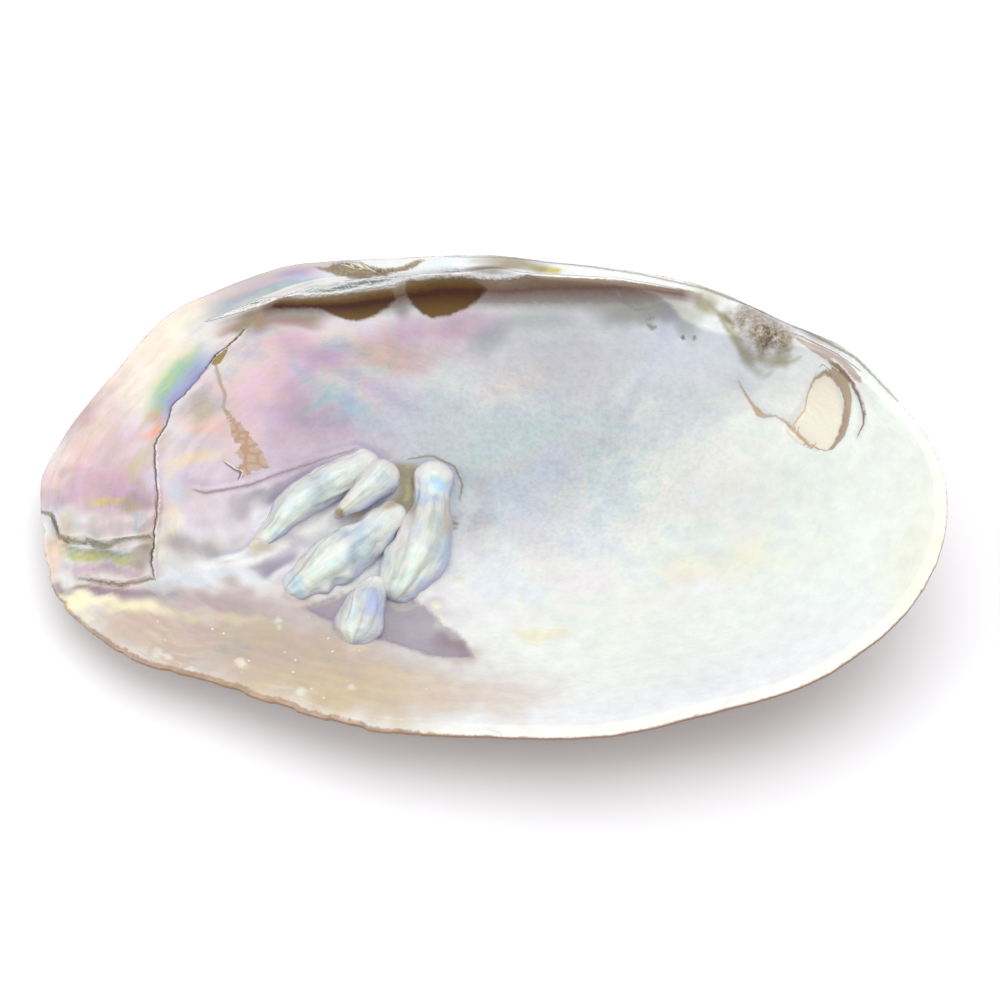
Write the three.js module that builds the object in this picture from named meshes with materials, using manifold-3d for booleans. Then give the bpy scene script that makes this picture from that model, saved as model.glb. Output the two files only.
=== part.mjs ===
// Mother-of-pearl shell: one valve of a large freshwater pearl mussel, lying on its back with the nacre up,
// and the five baroque pearls that grew fast to its hollow.
// Millimetres, +Z up. In the shell's own frame x runs to the front end, y to the hinge and z up out of the
// hollow, and the rim lies in the plane z = 0. The whole shell is then tipped as it rests.
import * as THREE from 'three';
import Module from 'manifold-3d';

const wasm = await Module();
wasm.setup();

const { cos, sin, exp, hypot, atan2, max, min, PI } = Math;
const { lerp, clamp, degToRad, smoothstep, euclideanModulo } = THREE.MathUtils;

// Driving dimensions of the valve

// The rim, seen from above, and the width of the border between it and the edge of the hollow there:
// the worn wing is at the rear of the hinge side, the tooth at its front.
const RIM = [
  [-90.5, 7, 2.5], [-89.5, 13, 2.5], [-84.5, 23, 3], [-76.5, 34.5, 5], [-67.5, 46, 9], [-57.5, 51.5, 12],
  [-44, 56.5, 10.5], [-34, 57.5, 9.5], [-20.5, 57.5, 7], [-8.5, 57.5, 6], [1.5, 57, 4.5], [12, 55, 4.5],
  [25.5, 52.5, 4], [38, 49.5, 5], [48, 45.5, 9.5], [60.5, 38, 9], [72.5, 31, 5], [81, 20.5, 3], [88, 8.5, 2.5],
  [90, -3, 2.5], [87.5, -15, 2.5], [81.5, -25, 2.5], [73.5, -32.5, 2.5], [61, -40, 2.5], [41, -45.5, 2.5],
  [22, -49, 2.5], [-4, -48, 2.5], [-20, -46.5, 2.5], [-37, -41.5, 2.5], [-52.5, -35.5, 2.5], [-68, -30.5, 2.5],
  [-80, -22, 2.5], [-86, -14.5, 2.5], [-89, -3, 2.5],
];
const HOLLOW_CENTRE = new THREE.Vector2(15, 15);
const HOLLOW_DEPTH = 22;
const RIM_THICKNESS = 1.3;
const EXTRA_WALL = 3.6;
const BEAK = { x: 42, y: 43, along: 20, across: 10, swell: 3 };
const GROWTH_STEP = 0.4;
const REST_TILT = degToRad(4.5);
const REST_ROLL = degToRad(7);
const REST_FLAT_DEPTH = 0.5;

// How the walls curve, from the hollow's centre to the front, the hinge, the rear and the belly side:
// a larger swell gives a flatter floor, and a smaller steepness a steeper wall at the edge.
const HOLLOW_SWELL = [2.4, 3.2, 1.7, 2.0];
const HOLLOW_STEEPNESS = [1.1, 0.8, 1.2, 1.2];
const BACK_SWELL = [2.3, 2.9, 1.7, 1.95];
const BACK_STEEPNESS = [1.08, 0.78, 1.15, 1.15];
const BROAD_ANGLE = degToRad(28);
const WING = { x: -58, y: 34, along: 34, across: 22, rise: 0.35, backRise: 0.33 };

// The hinge teeth, the muscle scar and the broken layer at the rear end
const LATERAL_TEETH = [{ place: 0.07, height: 1.3, width: 0.06 }, { place: 0.28, height: 1.0, width: 0.08 }];
const LATERAL_TEETH_SPAN = { rear: -62, front: 12, fade: 14 };
const CUSP = { x: 57, y: 35, along: 8, across: 4.5, turn: degToRad(-28), height: 2.6 };
const CUSP_RIBS = { turns: 10, relief: 0.25 };
const CUSP_RIDGE = { x: 71, y: 27, along: 8, across: 2.2, turn: degToRad(-38), height: 1.2 };
const SCAR = { x: 67, y: 19.5, along: 7.5, across: 4.6, turn: degToRad(70), depth: 1.1 };
const SCAR_BRINK = { outside: 0.3, inside: 0.45 };
// A flap of broken layers: where it ends at the crack, below and above, and how far each end fades out
const FLAP = { edge: -67, lowerEdge: -2, lowerFade: 2, upperEdge: 19, upperFade: 14, height: 0.9 };
const LOWER_FLAP = { edge: -67.5, lowerEdge: -12, lowerFade: 2, upperEdge: -6, upperFade: 6, height: 0.7 };
const FLAP_EDGE_FADE = 2;
const FLAP_RIM_SHARE = 0.93;

// The mesh: points taken along the rim, spokes round it, rings over the hollow, the border and the back
const RIM_SAMPLES = 720;
const SPOKES = 112;
const HOLLOW_RINGS = [0.13, 0.26, 0.38, 0.49, 0.59, 0.68, 0.76, 0.83, 0.89, 0.94, 0.975, 1];
const BORDER_RINGS = [0.07, 0.16, 0.28, 0.48, 0.72];
const BACK_RINGS = [0.965, 0.88, 0.86, 0.77, 0.75, 0.65, 0.63, 0.54, 0.52, 0.45, 0.38, 0.3, 0.21, 0.11];
const LEDGE_RINGS = new Set([0.88, 0.77, 0.65, 0.54]);

// The pearls

// Each lies along a line of points: x, y, lift of its middle above the floor of the hollow, and radius.
// It is broader and lower than round by the shares given.
const PEARL_GAP = 0.3;
const PEARL_AROUND = 16;
const PEARL_ALONG = 13;
const PEARL_POLE = 0.999;
const PEARLS = [
  { name: 'pearl_drop', broad: 1.0, low: 0.95, line: [
    [-22.8, 12.6, 3.8, 3.9], [-26.5, 8.0, 4.4, 2.7], [-30.6, 3.4, 4.4, 1.1]] },
  { name: 'pearl_right', broad: 1.05, low: 0.85, line: [
    [-12.6, 13.4, 2.8, 4.2], [-12.8, 8.6, 2.2, 3.5], [-13.4, 3, 2.4, 4.7], [-15.2, -4.8, 2.2, 5.6],
    [-18.0, -11.6, 1.6, 3.8]] },
  { name: 'pearl_middle', broad: 1.12, low: 0.75, line: [
    [-20.6, 5.2, 2, 3.0], [-26, -1, 2.2, 4.4], [-32.4, -7.2, 1.9, 4.9], [-38.0, -12.2, 1.4, 3.2]] },
  { name: 'pearl_left', broad: 1.15, low: 0.75, line: [
    [-26.4, 16.6, 2, 3.0], [-33.5, 11.5, 1.9, 3.6], [-40, 6, 1.7, 3.4], [-46.2, -2.4, 1.0, 1.5]] },
  { name: 'pearl_small', broad: 1.05, low: 0.85, line: [
    [-22.8, -12, 1.6, 2.4], [-24.6, -17, 1.6, 3.9], [-25.6, -22.8, 1.5, 3.9]] },
];

// The rim as a closed curve, and as radius and border width by direction from the hollow's centre

const rimCurve = new THREE.CatmullRomCurve3(
  RIM.map(([x, y, border]) => new THREE.Vector3(x, y, border)).reverse(), true, 'catmullrom', 0.5);

const rimByAngle = rimCurve.getSpacedPoints(RIM_SAMPLES).slice(1).map((point) => ({
  angle: atan2(point.y - HOLLOW_CENTRE.y, point.x - HOLLOW_CENTRE.x),
  radius: hypot(point.x - HOLLOW_CENTRE.x, point.y - HOLLOW_CENTRE.y),
  border: point.z,
})).sort((one, other) => one.angle - other.angle);

// The radius with the rim's own waves smoothed out, for the middle of the bowl
for (const entry of rimByAngle) {
  const near = rimByAngle.filter((other) => cos(other.angle - entry.angle) > cos(BROAD_ANGLE));
  entry.broad = near.reduce((sum, other) => sum + other.radius, 0) / near.length;
}

function rimAt(angle) {
  const next = max(0, rimByAngle.findIndex((entry) => entry.angle > angle));
  const after = rimByAngle[next];
  const before = rimByAngle.at(next - 1);
  const turned = euclideanModulo(angle - before.angle, 2 * PI);
  const share = turned / euclideanModulo(after.angle - before.angle, 2 * PI);
  const mix = (key) => lerp(before[key], after[key], share);
  return { radius: mix('radius'), border: mix('border'), broad: mix('broad') };
}

// A value that turns smoothly from the front to the hinge, the rear and the belly side
function fourWay(angle, [front, hinge, rear, belly]) {
  const mean = (front + hinge + rear + belly) / 4;
  const alongEnds = (front - rear) / 2 * cos(angle) + (hinge - belly) / 2 * sin(angle);
  return mean + alongEnds + ((front + rear) - (hinge + belly)) / 4 * cos(2 * angle);
}

// 1 at the middle of an oval spot, falling off to 0 round it
function spot(x, y, { x: middleX, y: middleY, along, across, turn = 0 }) {
  const forward = (x - middleX) * cos(turn) + (y - middleY) * sin(turn);
  const sideways = (y - middleY) * cos(turn) - (x - middleX) * sin(turn);
  return exp(-((forward / along) ** 2) - (sideways / across) ** 2);
}

// The bowl shape that both faces of the valve share: 1 at the hollow's centre and 0 at its edge
function bowl(reach, edge, broad, angle, swell, steepness) {
  const toEdge = min(1, reach / edge);
  const share = min(1, reach / lerp(broad, edge, toEdge ** 3));
  return (1 - share ** fourWay(angle, swell)) ** fourWay(angle, steepness);
}

// The nacre face: its height over the point x, y
function lateralTeeth(x, place) {
  const { rear, front, fade } = LATERAL_TEETH_SPAN;
  const span = smoothstep(x, rear, rear + fade) * (1 - smoothstep(x, front - fade, front));
  return LATERAL_TEETH.reduce((sum, tooth) =>
    sum + span * tooth.height * exp(-(((place - tooth.place) / tooth.width) ** 2)), 0);
}

function cuspTooth(x, y) {
  const ribs = 1 + CUSP_RIBS.relief * cos(CUSP_RIBS.turns * atan2(y - CUSP.y + CUSP.across, x - CUSP.x));
  return CUSP.height * spot(x, y, CUSP) * ribs + CUSP_RIDGE.height * spot(x, y, CUSP_RIDGE);
}

function brokenLayer(x, y, flap) {
  const beyondCrack = 1 - smoothstep(x, flap.edge - FLAP_EDGE_FADE / 2, flap.edge + FLAP_EDGE_FADE / 2);
  const above = smoothstep(y, flap.lowerEdge - flap.lowerFade / 2, flap.lowerEdge + flap.lowerFade / 2);
  const below = 1 - smoothstep(y, flap.upperEdge - flap.upperFade / 2, flap.upperEdge + flap.upperFade / 2);
  return flap.height * beyondCrack * above * below;
}

function hollowHeight(x, y) {
  const angle = atan2(y - HOLLOW_CENTRE.y, x - HOLLOW_CENTRE.x);
  const reach = hypot(x - HOLLOW_CENTRE.x, y - HOLLOW_CENTRE.y);
  const rim = rimAt(angle);
  const edge = rim.radius - rim.border;
  const bowlShare = bowl(reach, edge, rim.broad * edge / rim.radius, angle, HOLLOW_SWELL, HOLLOW_STEEPNESS);
  const place = clamp((reach - rim.radius + rim.border) / rim.border, 0, 1);
  const depth = HOLLOW_DEPTH * bowlShare * (1 - WING.rise * spot(x, y, WING));
  const teeth = place > 0 && y > HOLLOW_CENTRE.y ? lateralTeeth(x, place) : 0;
  const toRim = 1 - place ** 4;
  const scar = SCAR.depth * smoothstep(spot(x, y, SCAR), SCAR_BRINK.outside, SCAR_BRINK.inside);
  const offRim = 1 - smoothstep(reach / rim.radius, FLAP_RIM_SHARE, 1);
  const flaps = offRim * (brokenLayer(x, y, FLAP) + brokenLayer(x, y, LOWER_FLAP));
  return toRim * (teeth + cuspTooth(x, y) - scar) - depth + flaps;
}

// The outer face: its height over the point x, y
function backHeight(x, y) {
  const angle = atan2(y - HOLLOW_CENTRE.y, x - HOLLOW_CENTRE.x);
  const reach = hypot(x - HOLLOW_CENTRE.x, y - HOLLOW_CENTRE.y);
  const rim = rimAt(angle);
  const share = min(1, reach / rim.radius);
  const bowlShare = bowl(reach, rim.radius, rim.broad, angle, BACK_SWELL, BACK_STEEPNESS);
  const depth = (HOLLOW_DEPTH + EXTRA_WALL - RIM_THICKNESS) * bowlShare;
  const beak = BEAK.swell * spot(x, y, BEAK) * (1 - share ** 8);
  return -RIM_THICKNESS - depth * (1 - WING.backRise * spot(x, y, WING)) - beak;
}

// The valve: one closed skin, wound as a lathe from the hollow's centre out over the rim and back to the beak

const HOLLOW_COUNT = HOLLOW_RINGS.length;
const BORDER_COUNT = BORDER_RINGS.length;

function hollowPoint(ring, rim) {
  const centre = HOLLOW_CENTRE;
  const radius = hypot(rim.x - centre.x, rim.y - centre.y);
  let reach = 0;
  if (ring > 0 && ring <= HOLLOW_COUNT) reach = HOLLOW_RINGS[ring - 1] * (radius - rim.z);
  if (ring > HOLLOW_COUNT) reach = radius - rim.z + BORDER_RINGS[ring - HOLLOW_COUNT - 1] * rim.z;
  const x = centre.x + (rim.x - centre.x) * reach / radius;
  const y = centre.y + (rim.y - centre.y) * reach / radius;
  return new THREE.Vector3(x, y, hollowHeight(x, y));
}

function backPoint(share, rim) {
  const x = lerp(BEAK.x, rim.x, share);
  const y = lerp(BEAK.y, rim.y, share);
  const ledge = LEDGE_RINGS.has(share) ? GROWTH_STEP : 0;
  return new THREE.Vector3(x, y, backHeight(x, y) - ledge);
}

function valveGeometry() {
  const frontCount = 1 + HOLLOW_COUNT + BORDER_COUNT;
  const ringCount = frontCount + 2 + BACK_RINGS.length + 1;
  const profile = Array.from({ length: ringCount }, (unused, ring) =>
    new THREE.Vector2(ring === 0 || ring === ringCount - 1 ? 0 : 1, ring));
  const geometry = new THREE.LatheGeometry(profile, SPOKES);
  const { position, uv } = geometry.attributes;
  for (let index = 0; index < position.count; index += 1) {
    const ring = Math.round(uv.getY(index) * (ringCount - 1));
    const rim = rimCurve.getPointAt(euclideanModulo(-uv.getX(index), 1));
    let point = new THREE.Vector3(rim.x, rim.y, 0);
    if (ring < frontCount) point = hollowPoint(ring, rim);
    if (ring === frontCount + 1) point.z = -RIM_THICKNESS;
    if (ring > frontCount + 1) point = backPoint(BACK_RINGS[ring - frontCount - 2] ?? 0, rim);
    position.setXYZ(index, point.x, point.y, point.z);
  }
  return geometry;
}

// The lowest part of the back is worn to a small flat, which the shell rests on
function wearFlat(geometry, restUp) {
  const { position } = geometry.attributes;
  const point = new THREE.Vector3();
  let lowest = Infinity;
  for (let index = 0; index < position.count; index += 1) {
    lowest = min(lowest, point.fromBufferAttribute(position, index).dot(restUp));
  }
  const flat = new THREE.Box3();
  const flatHeight = lowest + REST_FLAT_DEPTH;
  for (let index = 0; index < position.count; index += 1) {
    point.fromBufferAttribute(position, index);
    const rise = flatHeight - point.dot(restUp);
    if (rise >= 0) {
      point.addScaledVector(restUp, rise);
      position.setXYZ(index, point.x, point.y, point.z);
      flat.expandByPoint(point);
    }
  }
  const middle = flat.getCenter(new THREE.Vector3());
  return middle.addScaledVector(restUp, flatHeight - middle.dot(restUp));
}

// A pearl: a sphere drawn out along its line, with its underside kept off the floor of the hollow. A skin
// makes it that much larger all round.
function pearlGeometry({ line, broad, low }, skin) {
  const spine = new THREE.CatmullRomCurve3(line.map(([x, y, lift]) =>
    new THREE.Vector3(x, y, hollowHeight(x, y) + lift * low)));
  const radii = new THREE.SplineCurve(line.map(([, , , radius], index) => new THREE.Vector2(index, radius)));
  const ends = [line[0][3], line.at(-1)[3]];
  const length = spine.getLength();
  const geometry = new THREE.SphereGeometry(1, PEARL_AROUND, PEARL_ALONG);
  const { position } = geometry.attributes;
  const local = new THREE.Vector3();
  const side = new THREE.Vector3();
  const lift = new THREE.Vector3();
  const up = new THREE.Vector3(0, 0, 1);
  for (let index = 0; index < position.count; index += 1) {
    local.fromBufferAttribute(position, index);
    const reach = (1 - local.y) / 2 * (length + ends[0] + ends[1]) - ends[0];
    const along = clamp(reach / length, 0, 1);
    const beyond = max(0, -reach / ends[0], (reach - length) / ends[1]);
    const radius = radii.getPoint(along).y * Math.sqrt(max(0, 1 - beyond ** 2));
    const tangent = spine.getTangent(along);
    side.crossVectors(up, tangent).normalize();
    lift.crossVectors(tangent, side);
    const girth = hypot(local.x, local.z) || 1;
    const point = spine.getPoint(along).addScaledVector(tangent, reach - along * length);
    if (beyond < PEARL_POLE) {
      point.addScaledVector(side, local.x / girth * (radius * broad + skin));
      point.addScaledVector(lift, local.z / girth * (radius * low + skin));
    }
    point.z = max(point.z, hollowHeight(point.x, point.y) + PEARL_GAP);
    position.setXYZ(index, point.x, point.y, point.z);
  }
  return geometry;
}

// Joins and cuts of closed meshes

function solidOf(geometry) {
  const { position } = geometry.attributes;
  const index = geometry.index.array;
  const mesh = new wasm.Mesh({
    numProp: 3,
    vertProperties: new Float32Array(position.array),
    triVerts: new Uint32Array(index),
  });
  mesh.merge();
  return new wasm.Manifold(mesh);
}

function geometryOf(solid) {
  const mesh = solid.getMesh();
  const geometry = new THREE.BufferGeometry();
  geometry.setAttribute('position', new THREE.BufferAttribute(mesh.vertProperties, 3));
  geometry.setIndex(new THREE.BufferAttribute(mesh.triVerts, 1));
  geometry.computeVertexNormals();
  return geometry;
}

// Each pearl gives way to those named before it, which lie over it or press against it
function pearlGeometries() {
  const taken = [];
  return PEARLS.map((pearl) => {
    const whole = solidOf(pearlGeometry(pearl, 0));
    const clear = taken.length ? whole.subtract(wasm.Manifold.union(taken)) : whole;
    taken.push(solidOf(pearlGeometry(pearl, PEARL_GAP)));
    const [body] = clear.decompose().sort((one, other) => other.volume() - one.volume());
    return { name: pearl.name, geometry: geometryOf(body) };
  });
}

// The shell, tipped to its place of rest, with the middle of its rest flat at the origin

const nacre = { color: 0xe6e2e4, roughness: 0.28, metalness: 0 };
const pearlLustre = { color: 0xe9edf2, roughness: 0.2, metalness: 0 };

const tilt = new THREE.Quaternion().setFromAxisAngle(new THREE.Vector3(1, 0, 0), REST_TILT);
const roll = new THREE.Quaternion().setFromAxisAngle(new THREE.Vector3(0, 1, 0), -REST_ROLL);
const restTurn = tilt.multiply(roll);
const restUp = new THREE.Vector3(0, 0, 1).applyQuaternion(restTurn.clone().invert());

const valve = new THREE.Mesh(valveGeometry(), new THREE.MeshStandardMaterial(nacre));
valve.name = 'valve';
const restPoint = wearFlat(valve.geometry, restUp);
valve.geometry.computeVertexNormals();

const shell = new THREE.Group();
shell.name = 'mother_of_pearl_shell';
shell.quaternion.copy(restTurn);
shell.position.copy(restPoint).applyQuaternion(restTurn).negate();
shell.add(valve);

for (const { name, geometry } of pearlGeometries()) {
  const pearl = new THREE.Mesh(geometry, new THREE.MeshStandardMaterial(pearlLustre));
  pearl.name = name;
  shell.add(pearl);
}

const part = new THREE.Group();
part.add(shell);

export default part;
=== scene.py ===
import math

import bmesh
import bpy
import numpy as np
from mathutils import Matrix, Vector


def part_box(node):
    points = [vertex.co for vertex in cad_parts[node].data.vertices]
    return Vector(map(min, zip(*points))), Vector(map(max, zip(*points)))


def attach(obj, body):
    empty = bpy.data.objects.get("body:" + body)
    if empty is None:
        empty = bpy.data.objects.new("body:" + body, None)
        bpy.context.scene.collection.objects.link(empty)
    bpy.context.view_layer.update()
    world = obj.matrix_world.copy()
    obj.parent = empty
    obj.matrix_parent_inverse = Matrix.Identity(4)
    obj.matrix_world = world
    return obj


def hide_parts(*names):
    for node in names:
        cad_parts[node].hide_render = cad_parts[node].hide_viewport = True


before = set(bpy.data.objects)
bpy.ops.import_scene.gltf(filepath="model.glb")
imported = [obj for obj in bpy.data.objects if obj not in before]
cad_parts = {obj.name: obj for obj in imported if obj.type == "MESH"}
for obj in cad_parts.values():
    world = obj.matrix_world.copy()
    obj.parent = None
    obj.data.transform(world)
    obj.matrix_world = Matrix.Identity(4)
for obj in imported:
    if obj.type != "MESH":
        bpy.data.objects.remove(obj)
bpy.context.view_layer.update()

MM = 0.001

# Camera

# The photograph looks down at the shell from the belly side, from about half a metre.
CAMERA_ELEVATION = math.radians(60.3)
CAMERA_DISTANCE = 0.468
CAMERA_TARGET = Vector((-0.0020, -0.0071, 0.020))
CAMERA_ROLL = math.radians(0.74)
CAMERA_LENS = 85


def place_camera():
    camera = bpy.data.objects.new("camera", bpy.data.cameras.new("camera"))
    bpy.context.scene.collection.objects.link(camera)
    camera.data.lens = CAMERA_LENS
    camera.data.sensor_width = 36
    turn = Matrix.Rotation(math.pi / 2 - CAMERA_ELEVATION, 4, "X") @ Matrix.Rotation(CAMERA_ROLL, 4, "Z")
    back = turn.to_3x3() @ Vector((0, 0, CAMERA_DISTANCE))
    camera.matrix_world = Matrix.Translation(CAMERA_TARGET + back) @ turn
    bpy.context.scene.camera = camera


# Shape of the valve, as in the CAD model

# The rim, seen from above, and the width of the border between it and the edge of the hollow there
RIM = [
    (-90.5, 7, 2.5), (-89.5, 13, 2.5), (-84.5, 23, 3), (-76.5, 34.5, 5), (-67.5, 46, 9), (-57.5, 51.5, 12),
    (-44, 56.5, 10.5), (-34, 57.5, 9.5), (-20.5, 57.5, 7), (-8.5, 57.5, 6), (1.5, 57, 4.5), (12, 55, 4.5),
    (25.5, 52.5, 4), (38, 49.5, 5), (48, 45.5, 9.5), (60.5, 38, 9), (72.5, 31, 5), (81, 20.5, 3),
    (88, 8.5, 2.5), (90, -3, 2.5), (87.5, -15, 2.5), (81.5, -25, 2.5), (73.5, -32.5, 2.5), (61, -40, 2.5),
    (41, -45.5, 2.5), (22, -49, 2.5), (-4, -48, 2.5), (-20, -46.5, 2.5), (-37, -41.5, 2.5),
    (-52.5, -35.5, 2.5), (-68, -30.5, 2.5), (-80, -22, 2.5), (-86, -14.5, 2.5), (-89, -3, 2.5),
]
CENTRE_X, CENTRE_Y = 15, 15
HOLLOW_DEPTH = 22
RIM_THICKNESS = 1.3
EXTRA_WALL = 3.6
BEAK_X, BEAK_Y = 42, 43
BEAK_SWELL = 3
REST_TILT = math.radians(4.5)
REST_ROLL = math.radians(7)
REST_FLAT_DEPTH = 0.5

# How the walls curve, from the hollow's centre to the front, the hinge, the rear and the belly side
HOLLOW_SWELL = (2.4, 3.2, 1.7, 2.0)
HOLLOW_STEEPNESS = (1.1, 0.8, 1.2, 1.2)
BACK_SWELL = (2.3, 2.9, 1.7, 1.95)
BACK_STEEPNESS = (1.08, 0.78, 1.15, 1.15)
BROAD_ANGLE = math.radians(28)


def smooth(value, low, high):
    """0 below low, 1 above high, and an even curve between them"""
    share = np.clip((value - low) / (high - low), 0, 1)
    return share * share * (3 - 2 * share)


def from_middle(x, y, middle_x, middle_y, turn):
    """Distances from the middle of an oval, along it and across it"""
    angle = math.radians(turn)
    forward = (x - middle_x) * math.cos(angle) + (y - middle_y) * math.sin(angle)
    sideways = (y - middle_y) * math.cos(angle) - (x - middle_x) * math.sin(angle)
    return forward, sideways


def spot(x, y, middle_x, middle_y, along, across, turn=0):
    """1 at the middle of an oval spot, falling off to 0 round it"""
    forward, sideways = from_middle(x, y, middle_x, middle_y, turn)
    return np.exp(-((forward / along) ** 2) - (sideways / across) ** 2)


def ripples(x, y, size, seed):
    """Smooth random waves, about 1 high and size millimetres across"""
    random = np.random.default_rng(seed)
    height = np.zeros_like(x)
    for _ in range(9):
        turn, phase = random.uniform(0, 2 * math.pi, 2)
        length = size * random.uniform(0.6, 1.6)
        height += np.sin((x * math.cos(turn) + y * math.sin(turn)) * 2 * math.pi / length + phase)
    return height / 3


def curve_through(points, steps, closed):
    """Points of a Catmull-Rom curve through the given ones"""
    points = np.array(points, float)
    if closed:
        padded = np.vstack([points[-1:], points, points[:2]])
    else:
        padded = np.vstack([2 * points[:1] - points[1:2], points, 2 * points[-1:] - points[-2:-1]])
    share = np.linspace(0, 1, steps, endpoint=False)[:, None]
    spans = []
    for before, start, end, after in zip(padded, padded[1:], padded[2:], padded[3:]):
        spans.append(0.5 * (2 * start + (end - before) * share
                            + (2 * before - 5 * start + 4 * end - after) * share ** 2
                            + (3 * start - before - 3 * end + after) * share ** 3))
    return np.vstack(spans if closed else spans + [points[-1:]])


def way_along(points):
    """Share of the whole length at which each point of a curve lies"""
    way = np.concatenate([[0], np.cumsum(np.linalg.norm(np.diff(points, axis=0), axis=1))])
    return way / way[-1]


RIM_CURVE = curve_through(RIM[::-1], 24, closed=True)
RIM_CURVE = np.vstack([RIM_CURVE, RIM_CURVE[:1]])
RIM_WAY = way_along(RIM_CURVE)
RIM_ANGLE = np.arctan2(RIM_CURVE[:-1, 1] - CENTRE_Y, RIM_CURVE[:-1, 0] - CENTRE_X)
RIM_RADIUS = np.hypot(RIM_CURVE[:-1, 1] - CENTRE_Y, RIM_CURVE[:-1, 0] - CENTRE_X)
RIM_NEAR = np.cos(RIM_ANGLE[:, None] - RIM_ANGLE) > math.cos(BROAD_ANGLE)
RIM_BROAD = (RIM_NEAR * RIM_RADIUS).sum(axis=1) / RIM_NEAR.sum(axis=1)


def rim_at(angle):
    """Radius, border width and smoothed radius of the rim, by direction from the hollow's centre"""
    return (np.interp(angle, RIM_ANGLE, values, period=2 * math.pi)
            for values in (RIM_RADIUS, RIM_CURVE[:-1, 2], RIM_BROAD))


def four_way(angle, values):
    """A value that turns smoothly from the front to the hinge, the rear and the belly side"""
    front, hinge, rear, belly = values
    ends = (front - rear) / 2 * np.cos(angle) + (hinge - belly) / 2 * np.sin(angle)
    return sum(values) / 4 + ends + ((front + rear) - (hinge + belly)) / 4 * np.cos(2 * angle)


def bowl(reach, edge, broad, angle, swell, steepness):
    """The bowl shape of both faces: 1 at the hollow's centre and 0 at its edge"""
    to_edge = np.minimum(1, reach / edge)
    share = np.minimum(1, reach / (broad + (edge - broad) * to_edge ** 3))
    return (1 - share ** four_way(angle, swell)) ** four_way(angle, steepness)


def wing_share(x, y):
    return spot(x, y, -58, 34, 34, 22)


def from_centre(x, y):
    return np.arctan2(y - CENTRE_Y, x - CENTRE_X), np.hypot(x - CENTRE_X, y - CENTRE_Y)


def plain_hollow(x, y):
    """Height of the nacre face without its details"""
    angle, reach = from_centre(x, y)
    radius, border, broad = rim_at(angle)
    edge = radius - border
    depth = HOLLOW_DEPTH * bowl(reach, edge, broad * edge / radius, angle, HOLLOW_SWELL, HOLLOW_STEEPNESS)
    return -depth * (1 - 0.35 * wing_share(x, y))


def plain_back(x, y):
    """Height of the outer face without its details"""
    angle, reach = from_centre(x, y)
    radius, border, broad = rim_at(angle)
    share = np.minimum(1, reach / radius)
    depth = (HOLLOW_DEPTH + EXTRA_WALL - RIM_THICKNESS) * bowl(
        reach, radius, broad, angle, BACK_SWELL, BACK_STEEPNESS)
    beak = BEAK_SWELL * spot(x, y, BEAK_X, BEAK_Y, 20, 10) * (1 - share ** 8)
    return -RIM_THICKNESS - depth * (1 - 0.33 * wing_share(x, y)) - beak


# Lines and patches on the nacre

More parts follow.
